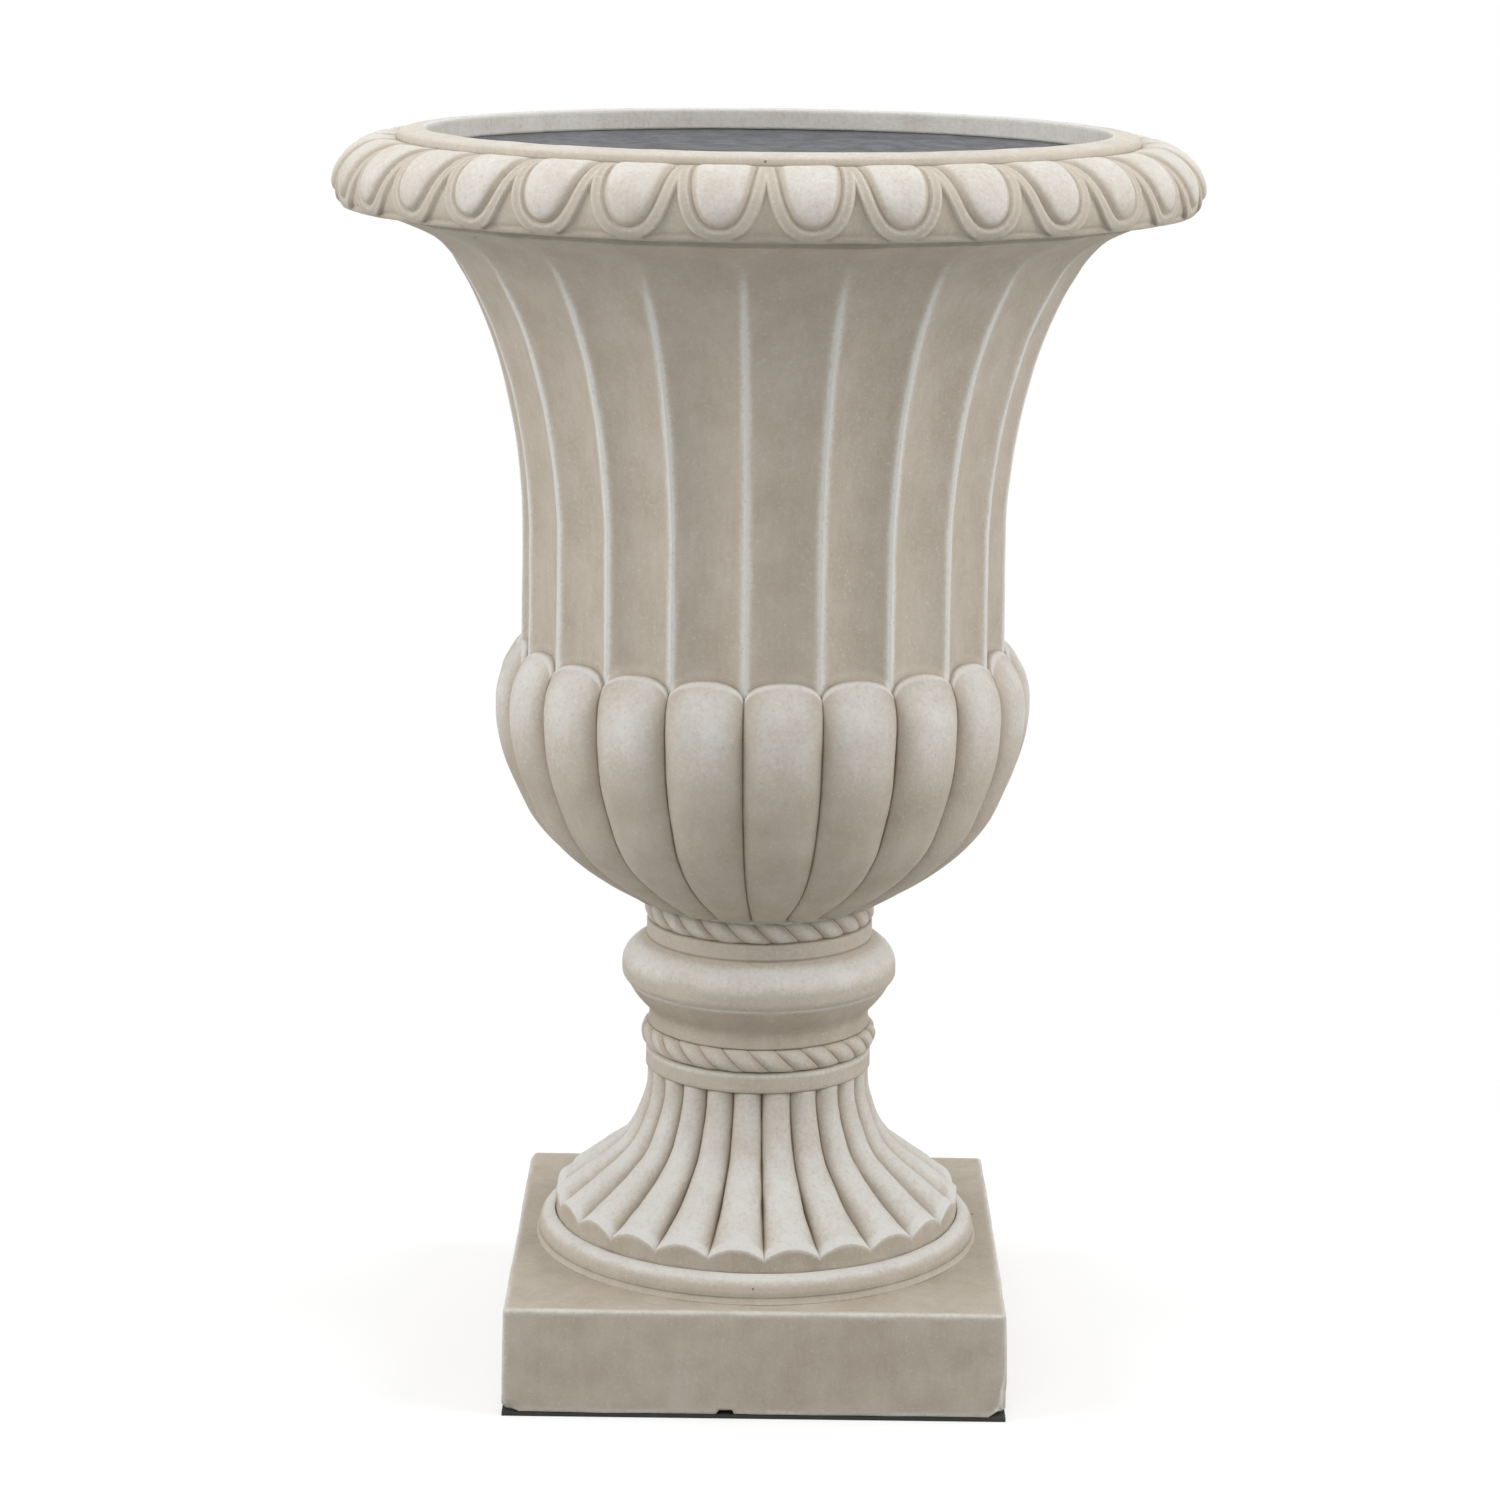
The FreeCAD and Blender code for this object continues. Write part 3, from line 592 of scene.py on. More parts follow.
def build_bowl(sizes):
    """Bowl below the egg band: underside, lobes, arches, flutes, and the inside down to the drain floor."""
    count = sizes.lobe_count
    side = np.sin(np.linspace(-1, 1, 25) * pi / 2)[None, :]
    across = np.abs(side)

    share = np.linspace(0, 1, 62)[:, None]
    arch = ARCH_FOOT + sizes.arch_height / MM * (1 - across ** 2.4) ** (1 / 2.2)
    lobe_height = BOWL_SEAT + (arch - BOWL_SEAT) * (1 - (1 - share) ** 1.25)
    lobe_form = 1 - (1 - across ** 2.3) ** 0.6
    lobe_radius = LOBE_CROWN(lobe_height) - LOBE_RELIEF(lobe_height) * lobe_form

    share_up = 1 - (1 - np.linspace(0, 1, 54)[:, None]) ** 1.35
    flute_height = arch + ARCH_GAP + (WALL_TOP - arch - ARCH_GAP) * share_up
    shallow = 1 - (1 - FLUTE_SHALLOWEST) * ease(flute_height, *FLUTE_FADE)
    flute = (1 - across ** 2) * sizes.flute_depth / MM * shallow
    half_step = pi * ARRIS(flute_height) / count
    worn = ARRIS_WEAR * near_one(side, half_step, ARRIS_WEAR_REACH)
    flute_radius = ARRIS(flute_height) - flute - worn

    outer_ledge = lobe_radius[-1:] - LEDGE_OUTER_INSET
    inner_ledge = (lobe_radius[-1:] - LEDGE_INNER_INSET + 2 * flute_radius[:1]) / 3

    inner_height, inner_radius = divided(BOWL_INSIDE, 0.11)
    height = stacked(side, lobe_height, arch + LEDGE_OUTER_RISE, arch + LEDGE_INNER_RISE, flute_height,
                     inner_height)
    radius = stacked(side, lobe_radius, outer_ledge, inner_ledge, flute_radius, inner_radius)

    half_lobe = pi * lobe_radius / count
    lobe_crest = (1 - across ** 2.6) * (0.06 + 0.62 * ease(lobe_height, 335, 392))
    arch_ridge = ease(lobe_height, arch - 2.6, arch - 0.6)
    lobe_crest = np.maximum(lobe_crest, arch_ridge)
    lobe_line = 0.85 * near_one(side, half_lobe, 0.9)
    flute_crest = 0.10 + 1.05 * near_one(side, half_step, 2.4) * ease(flute_height, 652, 610)
    # Painted shadow: the tops of the flutes, under the overhang of the egg band, are darkened.
    under_band_shadow = 0.45 * ease(flute_height, 648, 655)
    bare = np.where(inner_height < PAINT_END, 1.0, 0.0)
    no_lobe, no_flute, no_inside = 0 * lobe_height, 0 * flute_height, 0 * inner_height
    masks = {"crest": stacked(side, lobe_crest, 0.4, 0.1, flute_crest, no_inside),
             "line": stacked(side, lobe_line, 0.1, 0.55, under_band_shadow, no_inside),
             "inside": stacked(side, no_lobe, 0.0, 0.0, no_flute, bare)}
    wedge = wedge_object("bowl_body", count, side, radius, height, masks)
    bowl = repeated(wedge, count, sizes.lobe_turn + pi / count, pick_material(stone_material))
    weather(bowl, *BOWL_UNEVEN)
    lower = PAD_TOP + BOWL_SEAT - CUT_OVER
    upper = PAD_TOP + BOWL_FLOOR + CUT_OVER
    drains = []
    for azimuth in DRAIN_AZIMUTHS:
        x = DRAIN_CIRCLE * sin(radians(azimuth))
        y = -DRAIN_CIRCLE * cos(radians(azimuth))
        drains.append(cylinder_mesh("drain_hole", DRAIN_RADIUS, lower, upper, x, y, 24))
    cut_away(bowl, drains)
    settle(bowl, "bowl")


EGG_HALF_WIDTH = 15.3
EGG_LENGTH = 50.0           # along the band, from the lip to the foot of an egg
EGG_SHOULDER = 9.0          # an egg reaches its full rise this far inside its edge
COLLAR_HALF_WIDTH = 22.9
COLLAR_LENGTH = 58.0
U_POWER = 4.0               # a larger one keeps eggs and collars wide for longer
RIBBON_DROP = 1.3           # from the ribbon to the groove round the egg
BAND_START = (695.6, 206.4)
BAND_ROUND_HEIGHT = 27.4
BAND_ROUND_WIDTH = 33.6
BAND_UNDER_HEIGHT = 8.2     # below its widest point the band falls and curves in by these
BAND_UNDER_WIDTH = 3.4
BAND_BACK = [(658.6, 226.0), (657.4, 212.0), (662.0, 204.0), (690.0, 203.0)]
LIP_SECTION = [
    (690, 202), (690, 196), (689.5, 190.4), (700.4, 190.1), (701.4, 190.6), (701.8, 191.8),
    (701.5, 195), (700.5, 202), (699.7, 204.4), (698.6, 205.5), (697.0, 205.9), (695.0, 206.0),
    (694.0, 202)]
LIP_SECTORS = 64
RIM_UNEVEN = (0.25 * MM, 0.030, 9.0)


def band_outline(rows):
    """Rows down the band's face: distance, height and radius of the collars' surface, and its lean."""
    turn = np.linspace(0, pi / 2, rows)
    height = BAND_START[0] - BAND_ROUND_HEIGHT * (1 - np.cos(turn)) ** 0.95
    radius = BAND_START[1] + BAND_ROUND_WIDTH * np.sin(turn) ** 0.82
    under = np.linspace(0, 1, 11)[1:]
    height = np.concatenate([height, height[-1] - BAND_UNDER_HEIGHT * under ** 0.9])
    radius = np.concatenate([radius, radius[-1] - BAND_UNDER_WIDTH * under ** 2.4])
    distance = np.concatenate([[0], np.cumsum(np.hypot(np.diff(height), np.diff(radius)))])
    lean = np.arctan2(-np.gradient(height), np.gradient(radius))
    return distance[:, None], height[:, None], radius[:, None], lean[:, None]


def inside_u(across, distance, half_width, length):
    """Distance inside the edge of a U that hangs from the lip, negative outside it."""
    edge = (across / half_width) ** 2 + (distance / length) ** U_POWER
    slope = np.hypot(2 * across / half_width ** 2, U_POWER / length * (distance / length) ** (U_POWER - 1))
    return (1 - edge) / np.maximum(slope, 0.08)


def beside(distance, middle, reach):
    """1 at a line, fading over a reach to both sides."""
    return np.exp(-((distance - middle) / reach) ** 2)


def build_band(sizes):
    """Quarter-round band of flat-topped eggs, each in a U-shaped ribbon that stands off the ground."""
    count = sizes.egg_count
    side = np.linspace(-1, 1, 57)[None, :]
    distance, band_height, band_radius, lean = band_outline(38)
    end = distance[-1]
    across = np.abs(side) * pi * band_radius / count
    from_egg = inside_u(across, distance, EGG_HALF_WIDTH, EGG_LENGTH)
    from_collar = inside_u(across, distance, COLLAR_HALF_WIDTH, COLLAR_LENGTH)
    from_ribbon = -from_egg - (COLLAR_HALF_WIDTH - EGG_HALF_WIDTH - sizes.collar_width / MM)

    lift = -sizes.collar_relief / MM * ease(-from_collar, -0.5, 0.9)
    lift -= RIBBON_DROP * ease(-from_ribbon, -0.5, 0.4) * ease(-from_egg, -0.6, 0.3)
    swell = np.clip(from_egg / EGG_SHOULDER, 0, 1)
    lift += sizes.egg_rise / MM * (1 - (1 - swell) ** 3) * ease(distance, -2.0, 14.0)
    lift *= ease(distance, 0.0, 2.5) * ease(-distance, -end, -end + 1.5)
    face_height = band_height + lift * np.cos(lean)
    face_radius = band_radius + lift * np.sin(lean)

    back_height, back_radius = divided(BAND_BACK, 0.08)
    height = stacked(side, face_height, back_height)
    radius = stacked(side, face_radius, back_radius)

    dome = ease(from_egg, 0.6, 3.6) * (0.56 - 0.14 * ease(distance, 26, EGG_LENGTH))
    ribbon = ease(from_collar, -0.1, 0.8) * ease(from_ribbon, -0.1, 0.8)
    rims = beside(from_collar, 0.8, 0.9) + beside(from_ribbon, 0.8, 0.9)
    crest = np.clip(dome + ribbon * 0.04 + ribbon * rims * 0.30, 0, 1)
    crest = crest * ease(-distance, -end + 0.5, -end + 5) + 0.08
    groove = 0.62 * np.maximum(beside(from_egg, -0.5, 0.8), beside(from_collar, -0.5, 0.8))
    groove = np.maximum(groove * ease(distance, 0.0, 2.0), 0.5 * beside(distance, 0.6, 0.9))
    no_back = 0 * back_height
    # The band's back rows, its underside among them, get a faint painted shade through the line attribute.
    wedge = wedge_object("egg_band", count, side, radius, height,
                         {"crest": stacked(side, crest, no_back),
                          "line": stacked(side, groove, no_back + 0.25)})
    band = repeated(wedge, count, sizes.egg_turn, pick_material(stone_material))
    weather(band, *RIM_UNEVEN)
    settle(band, "bowl")


def build_lip():
    """Plain lip over the egg band, with a band inside for a liner."""
    height, radius = divided(LIP_SECTION, 0.7)
    side = np.linspace(-1, 1, 7)[None, :]
    # The lip's top and its inner cream band are raised toward the whitish colour: partly the cream and
    # dry-brushed paint, partly painted highlight.
    crest = 0.22 + 0.26 * ease(height, 698.6, 700.6) + 0.52 * ease(-radius, -192, -190.6)
    line = 0.35 * ease(-height, -696.4, -695.4)
    wedge = wedge_object("lip", LIP_SECTORS, side, radius, height, {"crest": crest, "line": line})
    lip = repeated(wedge, LIP_SECTORS, 0.0, pick_material(stone_material))
    weather(lip, *RIM_UNEVEN)
    settle(lip, "bowl")


# ---- Pedestal -------------------------------------------------------------------------------------
CORE_RADIUS = 62.0          # behind the ropes
STEM_BORE = 46.0
LOWER_FILLET = (163.2, 175.2, 65.3)     # bottom, top, radius
UPPER_FILLET = (240.4, 250.9, 65.0)
STEM_TOP = 261.4
SCOTIA_BOTTOM = 189.0
SCOTIA_TOP = 213.2
TORUS_BOTTOM = 214.4
SCOTIA = smooth_through([
    (SCOTIA_BOTTOM, 64.6), (193.0, 63.7), (197.0, 63.9), (200.0, 65.6), (204.0, 69.2), (208.0, 72.4),
    (SCOTIA_TOP, 75.6)])
TORUS = smooth_through([
    (TORUS_BOTTOM, 76.3), (217.0, 78.4), (222.0, 79.2), (228.0, 78.4), (232.0, 76.3), (236.0, 72.4),
    (239.0, 67.8), (UPPER_FILLET[0], 65.3)])
STEM_LOWER = [
    (LOWER_FILLET[0], STEM_BORE), (LOWER_FILLET[0], 64.6), (163.9, LOWER_FILLET[2]),
    (173.4, LOWER_FILLET[2]), (174.4, 64.6), (LOWER_FILLET[1], CORE_RADIUS), (SCOTIA_BOTTOM, CORE_RADIUS)]
STEM_UPPER = [
    (241.2, UPPER_FILLET[2]), (249.6, UPPER_FILLET[2]), (250.4, 64.4), (UPPER_FILLET[1], CORE_RADIUS),
    (STEM_TOP, CORE_RADIUS), (STEM_TOP, STEM_BORE)]
STEM_JOINTS = (175.2, 189.2, 240.9, 250.9, 163.3)       # heights where dirt gathers
STEM_EDGES = ((214.3, 0.8, 0.45), (173.6, 0.7, 0.35))   # height, reach and strength of a bright edge
STEM_OUTSIDE = 55.0         # dirt lies only outside this radius
STEM_SECTORS = 32
STEM_UNEVEN = (0.3 * MM, 0.035, 5.0)


def build_stem():
    """Turned part of the pedestal: fillets, scotia and torus."""
    scotia = [(height, float(SCOTIA(height))) for height in np.linspace(SCOTIA_BOTTOM, SCOTIA_TOP, 20)]
    drops = (UPPER_FILLET[0] - TORUS_BOTTOM) * np.linspace(1, 0, 34) ** 1.25
    torus = [(height, float(TORUS(height))) for height in UPPER_FILLET[0] - drops]
    height, radius = divided(STEM_LOWER + scotia + torus + STEM_UPPER, 0.5)
    side = np.linspace(-1, 1, 9)[None, :]
    # Painted highlight on the torus's upper side and painted shade in the scotia.
    torus_top_highlight = ease(height, 222, 232) * ease(-height, -240, -236)
    scotia_shade = ease(-height, -214, -212) * ease(height, 188, 190)
    crest = 0.2 + 0.55 * torus_top_highlight - 0.35 * scotia_shade
    for level, reach, strength in STEM_EDGES:
        crest = crest + strength * beside(height, level, reach)
    line = np.clip(sum(beside(height, level, 0.7) for level in STEM_JOINTS), 0, 1) * (radius > STEM_OUTSIDE)
    wedge = wedge_object("stem", STEM_SECTORS, side, radius, height, {"crest": crest, "line": line})
    stem = repeated(wedge, STEM_SECTORS, 0.0, pick_material(stone_material))
    weather(stem, *STEM_UNEVEN)
    settle(stem, "pedestal")


UPPER_ROPE = (250.5, 264.5, 66.5)       # bottom, top, radius over the strands
LOWER_ROPE = (175.5, 189.0, 68.0)
ROPE_BACK = 60.0
ROPE_BULGE = 4.6            # the ring stands this far out of its edges
UPPER_ROPE_UNEVEN = (0.35 * MM, 0.012, 21.0)
LOWER_ROPE_UNEVEN = (0.35 * MM, 0.012, 23.0)


def build_rope(name, sizes, strands, outline, uneven):
    """Cable moulding: lens-shaped strands that lean from upper left to lower right."""
    bottom, top, radius = outline
    side = np.sin(np.linspace(-1, 1, 19) * pi / 2)[None, :]
    turn_round = np.linspace(-pi / 2, pi / 2, 23)[:, None]
    strand_relief = sizes.strand_relief / MM
    strand_form = (1 - np.abs(side) ** 2.2) ** 0.75
    relief = strand_relief * np.cos(turn_round) ** 0.5 * strand_form
    ring = radius - strand_relief - ROPE_BULGE + ROPE_BULGE * np.cos(turn_round) ** 0.8
    face_height = (bottom + top) / 2 + (top - bottom) / 2 * np.sin(turn_round)
    back_height = np.array([[top], [bottom]])
    height = stacked(side, face_height, back_height)
    lean = -sizes.strand_lean * (height - bottom) / (top - bottom)
    crest = ease(1 - np.abs(side), 0.15, 0.75) * np.cos(turn_round) ** 0.6 * 0.42
    line = 0.8 * near_one(side, pi * radius / strands, 0.7) + 0.6 * (1 - np.cos(turn_round)) ** 4
    no_back = 0 * back_height
    wedge = wedge_object(name, strands, side, stacked(side, ring + relief, no_back + ROPE_BACK), height,
                         {"crest": stacked(side, crest, no_back), "line": stacked(side, line, no_back)}, lean)
    rope = repeated(wedge, strands, 0.0, pick_material(stone_material))
    weather(rope, *uneven)
    settle(rope, "pedestal")


REED_CROWN = smooth_through([
    (88.7, 117.3), (96, 107.2), (104, 96.5), (110, 88.0), (116, 80.6), (124, 74.6), (132, 70.6),
    (140, 67.6), (150, 65.0), (156, 64.4), (164, 64.4)])
REED_VALLEY = smooth_through([
    (82, 117.0), (88, 104.5), (94, 95.0), (102.7, 80.5), (114.2, 69.9), (123, 63.0), (132, 60.0),
    (143.5, 57.0), (156, 54.3), (164, 54.3)])
REED_FOOT = 88.7            # the crown meets the upright face here
REED_TOP = 163.3
REED_SPREAD = 1.4           # slope of the crown below the edge, past the face
FOOT_RADIUS = 117.3
FOOT_BOTTOM = 61.6
FOOT_EDGE_GAP = 0.5         # worn off the scalloped edge
FOOT_INSIDE = [(FOOT_BOTTOM, 92), (72, 91), (105, 60), (135, STEM_BORE), (REED_TOP, STEM_BORE)]
FOOT_UNEVEN = (0.3 * MM, 0.022, 7.0)


def build_foot(sizes):
    """Flaring foot of reeds with a scalloped edge over an upright face."""
    count = sizes.reed_count
    side = np.sin(np.linspace(-1, 1, 21) * pi / 2)[None, :]
    across = np.abs(side)
    levels = np.linspace(82, REED_TOP, 400)[:, None]
    fullness = 0.48 + 0.12 * ease(-levels, -130, -85)
    reed_form = (1 - across ** 2) ** fullness
    crown = np.where(levels < REED_FOOT, FOOT_RADIUS + (REED_FOOT - levels) * REED_SPREAD, REED_CROWN(levels))
    depth = (crown - REED_VALLEY(levels)) * (0.62 + 0.38 * ease(-levels, -118, -94))
    surface = crown - depth * (1 - reed_form)
    first = np.argmax(surface <= FOOT_RADIUS, axis=0)
    edge = levels[first, 0][None, :]
    share = np.linspace(0, 1, 46)[:, None] ** 1.3
    reed_height = edge + (REED_TOP - edge) * share
    reed_radius = np.empty_like(reed_height)
    for column in range(side.shape[1]):
        reed_radius[:, column] = np.interp(reed_height[:, column], levels[:, 0], surface[:, column])
    reed_radius = np.minimum(reed_radius, FOOT_RADIUS - FOOT_EDGE_GAP * ease(-share, -0.02, 0))

    face_share = np.linspace(0, 1, 12)[:, None]
    face_height = FOOT_BOTTOM + (edge - FOOT_EDGE_GAP - FOOT_BOTTOM) * face_share
    inner_height, inner_radius = divided(FOOT_INSIDE[::-1], 0.12)
    height = stacked(side, face_height, reed_height, inner_height)
    radius = stacked(side, FOOT_RADIUS + 0 * face_height, reed_radius, inner_radius)
    half_step = pi * reed_radius / count
    crest = (1 - across ** 3.0) * (0.52 + 0.36 * ease(-reed_height, -150, -110))
    crest = crest + 0.9 * ease(-share, -0.05, -0.005)
    line = 0.7 * near_one(side, half_step, 0.8) * ease(share, 0.01, 0.06)
    face_crest = 0.4 * ease(face_height, edge - 1.2, edge - 0.5)
    face_line = 0.6 * ease(-face_height, -78, -74.5)
    no_inside = 0 * inner_height
    wedge = wedge_object("reeded_foot", count, side, radius, height,
                         {"crest": stacked(side, face_crest, crest, no_inside),
                          "line": stacked(side, face_line, line, no_inside)})
    foot = repeated(wedge, count, sizes.reed_turn + pi / count, pick_material(stone_material))
    weather(foot, *FOOT_UNEVEN)
    settle(foot, "pedestal")


# ---- Plinth ---------------------------------------------------------------------------------------
BEAD_SECTION = [
    (60.0, 117.6), (60.0, 129.0), (61.6, 127.6), (63.8, 127.0), (66.5, 127.2), (69.5, 126.2),
    (72.6, 124.0), (74.4, 121.0), (75.0, 118.6), (74.8, 117.8)]
BEAD_JOINT = 63.6           # height of the dirty line along the bead's foot
BEAD_SECTORS = 48
BEAD_UNEVEN = (0.35 * MM, 0.03, 11.0)
PLINTH_BOTTOM_HALF = 141.2
PLINTH_TOP_HALF = 139.9
PLINTH_HEIGHT = 60.1
PLINTH_WALL = 20.0
CAVITY_DRAFT = 4.0
DRAIN_OPENING = 45.0
WEEP_OFFSET = -16.0         # from the middle of the front
WEEP_WIDTH = 12.0
WEEP_HEIGHT = 3.0
WEEP_LEFT_SLOPE = 2.5       # the notch narrows upwards by these
WEEP_RIGHT_SLOPE = 2.0
PLINTH_EDGE = 2.0           # radius of the worn edges
EDGE_SPREAD = 1.4           # the rows near an edge are spread out by this
EDGE_ROWS = (0, 0.25, 0.6, 1.0, 1.5, 2.2, 3.2, 4.6)     # in thirds of the spread edge
EDGE_WEAR_REACH = 2.6
SKIN_MARGIN = 1.0           # cutters reach past the faces that they cut by these
CUTTER_MARGIN = 2.0
PLINTH_UNEVEN = (0.4 * MM, 0.06, 13.0)
# Chips: corner in x and y, how far in from it in x and y, height, and the way that each broke off
PLINTH_CHIPS = [
    (-1, -1, 3.2, 3.2, 3.0, (-1, -0.8, -0.8)),
    (1, -1, 4.0, 3.0, 4.4, (1, -0.7, -0.9)),
    (1, -1, 2.6, 2.0, 15.0, (1, -0.8, -0.25)),
    (-1, 1, 4.0, 3.5, PLINTH_HEIGHT - 2.0, (-1, 0.9, 0.7)),
    (1, 1, 2.0, 2.0, PLINTH_HEIGHT - 1.4, (1, 0.8, 0.8)),
    (-1, -1, 2.0, 2.0, PLINTH_HEIGHT - 1.0, (-1, -1, 0.9)),
    (1, -1, 2.2, 1.6, PLINTH_HEIGHT - 1.0, (1, -1, 1))]


def build_bead():
    """Round bead on the plinth, outside the foot."""
    height, radius = divided(BEAD_SECTION, 0.9)
    side = np.linspace(-1, 1, 7)[None, :]
    crest = 0.15 + 0.75 * ease(height, 69, 74)
    line = 0.9 * beside(height, BEAD_JOINT, 0.8)
    wedge = wedge_object("foot_bead", BEAD_SECTORS, side, radius, height, {"crest": crest, "line": line})
    bead = repeated(wedge, BEAD_SECTORS, 0.0, pick_material(stone_material))
    weather(bead, *BEAD_UNEVEN)
    settle(bead, "plinth")


def edge_spacing(half, edge, inner_steps):
    """Places from -half to half, close together near the ends, for worn edges."""
    near = np.array(EDGE_ROWS) * edge / 3
    inner = np.linspace(-half + near[-1], half - near[-1], inner_steps)[1:-1]
    return np.concatenate([-half + near, inner, (half - near)[::-1]])


def build_plinth():
    """Square block with worn edges, open underneath, with a weep notch in the front."""
    edge = PLINTH_EDGE
    places = edge_spacing(1.0, edge / PLINTH_BOTTOM_HALF * EDGE_SPREAD, 46)
    levels = (edge_spacing(0.5, edge / PLINTH_HEIGHT * EDGE_SPREAD, 14) + 0.5) * PLINTH_HEIGHT
    verts, faces, index = [], [], {}

    def corner(point):
        key = tuple(round(value, 5) for value in point)
        if key not in index:
            index[key] = len(verts)
            verts.append(key)
        return index[key]

    def sheet_of(first, second, place_of):
        for a0, a1 in zip(first, first[1:]):
            for b0, b1 in zip(second, second[1:]):
                faces.append([corner(place_of(a0, b0)), corner(place_of(a1, b0)), corner(place_of(a1, b1)),
                              corner(place_of(a0, b1))])

    top, bottom = levels[-1], levels[0]
    sheet_of(places, places, lambda a, b: (a, b, top))
    sheet_of(places, places, lambda a, b: (b, a, bottom))
    sheet_of(places, levels, lambda a, b: (a, -1.0, b))
    sheet_of(levels, places, lambda a, b: (-1.0, b, a))
    sheet_of(levels, places, lambda a, b: (b, 1.0, a))
    sheet_of(places, levels, lambda a, b: (1.0, a, b))
    points = np.array(verts)
    half = PLINTH_BOTTOM_HALF + (PLINTH_TOP_HALF - PLINTH_BOTTOM_HALF) * points[:, 2:3] / PLINTH_HEIGHT
    points[:, :2] *= half
    limit = np.concatenate([half, half, 0 * half + PLINTH_HEIGHT / 2], 1)
    middle = np.array([0, 0, PLINTH_HEIGHT / 2])
    core = np.clip(points - middle, -(limit - edge), limit - edge) + middle
    outward = points - core
    length = np.linalg.norm(outward, axis=1, keepdims=True)
    near_edge = (np.abs(outward) > 1e-6).sum(1, keepdims=True) > 1
    points = np.where(near_edge, core + outward / np.maximum(length, 1e-6) * edge, points)
    wear = beside(np.abs(points - middle), limit, EDGE_WEAR_REACH)
    crest = np.clip(wear.sum(1) - wear.max(1), 0, 1) * 0.7 + 0.05
    mesh = bpy.data.meshes.new("plinth_block")
    mesh.from_pydata(((points + (0, 0, PAD_TOP)) * MM).tolist(), [], faces)
    layer = mesh.attributes.new("crest", "FLOAT", "POINT")
    layer.data.foreach_set("value", crest.astype(np.float32))
    for key in ("line", "inside"):
        mesh.attributes.new(key, "FLOAT", "POINT")
    mesh.materials.append(pick_material(stone_material))
    plinth = bpy.data.objects.new("plinth_block", mesh)
    bpy.context.collection.objects.link(plinth)
    mesh.polygons.foreach_set("use_smooth", [True] * len(mesh.polygons))
    mesh.update()
    half = PLINTH_BOTTOM_HALF
    chips = [((x * (half - in_x), y * (half - in_y), height), way)
             for x, y, in_x, in_y, height, way in PLINTH_CHIPS]
    weather(plinth, *PLINTH_UNEVEN, chips)
    settle(plinth, "plinth")

    cavity_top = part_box("bridge_bar")[1][2] / MM
    lower = half - PLINTH_WALL
    upper = lower - CAVITY_DRAFT
    floor = PAD_TOP - SKIN_MARGIN
    left = WEEP_OFFSET - WEEP_WIDTH / 2
    right = WEEP_OFFSET + WEEP_WIDTH / 2
    front = -half - CUTTER_MARGIN
    back = -lower + CUTTER_MARGIN
    cut_away(plinth, [
        box_mesh("cavity", (-lower, lower, -lower, lower, floor), (-upper, upper, -upper, upper, cavity_top)),
        cylinder_mesh("drain", DRAIN_OPENING, cavity_top - SKIN_MARGIN,
                      PAD_TOP + PLINTH_HEIGHT + CUTTER_MARGIN),
        box_mesh("weep", (left, right, front, back, floor),
                 (left + WEEP_LEFT_SLOPE, right - WEEP_RIGHT_SLOPE, front, back, PAD_TOP + WEEP_HEIGHT))])


# ---- Mortar, pad and fasteners -------------------------------------------------------------------
MORTAR_COLUMNS = 200
MORTAR_ROWS = 10
MORTAR_RADIUS = 63.4        # of the middle of the bead of mortar
MORTAR_HEIGHT = 264.6
MORTAR_FATNESS = 3.1
MORTAR_LUMPS = 1.5          # how much its fatness varies
MORTAR_REACH = 1.15         # out from its middle, of its fatness
MORTAR_RISE = 0.75          # up and down from its middle, of its fatness
MORTAR_DRIFT_OUT = 0.5      # its middle wanders with the lumps by these
MORTAR_DRIFT_UP = 0.6
MORTAR_UNEVEN = (0.6 * MM, 0.008, 17.0)


def build_mortar():
    """Uneven bead of bedding mortar pressed out round the bowl's neck."""
    verts = []
    for turn in np.linspace(0, 2 * pi, MORTAR_COLUMNS, endpoint=False):
        way = Vector((sin(turn), -cos(turn), 0))
        lumps = noise.fractal(way * 5.0 + Vector((4, 2, 7)), 0.7, 2.0, 4)
        fat = MORTAR_FATNESS + MORTAR_LUMPS * lumps
        for row in range(MORTAR_ROWS):
            around = 2 * pi * row / MORTAR_ROWS
            radius = MORTAR_RADIUS + fat * MORTAR_REACH * cos(around) + MORTAR_DRIFT_OUT * lumps
            height = MORTAR_HEIGHT + MORTAR_DRIFT_UP * lumps + fat * MORTAR_RISE * sin(around)
            verts.append(way * radius * MM + Vector((0, 0, (height + PAD_TOP) * MM)))
    faces = []
    for column in range(MORTAR_COLUMNS):
        here = column * MORTAR_ROWS
        following = (column + 1) % MORTAR_COLUMNS * MORTAR_ROWS
        for row in range(MORTAR_ROWS):
            upper = (row + 1) % MORTAR_ROWS
            faces.append([here + row, following + row, following + upper, here + upper])
    mesh = bpy.data.meshes.new("neck_mortar")
    mesh.from_pydata(verts, [], faces)
    mesh.materials.append(pick_material(mortar_material))
    mesh.polygons.foreach_set("use_smooth", [True] * len(mesh.polygons))
    mortar = bpy.data.objects.new("neck_mortar", mesh)
    bpy.context.collection.objects.link(mortar)
    weather(mortar, *MORTAR_UNEVEN)
    settle(mortar, "bowl_bedding")


def finish_fasteners():
    """Finishes of the nodes that keep their own shape."""
    makers = {"foot_bedding": mortar_material, "base_pad": rubber_material, "seal_washer": rubber_material,
              "tie_rod": steel_material, "steel_washers": steel_material, "nuts": steel_material,
              "bridge_bar": steel_material}
    for node, maker in makers.items():
        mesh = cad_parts[node].data
        for index in range(len(mesh.materials)):
            mesh.materials[index] = pick_material(maker)


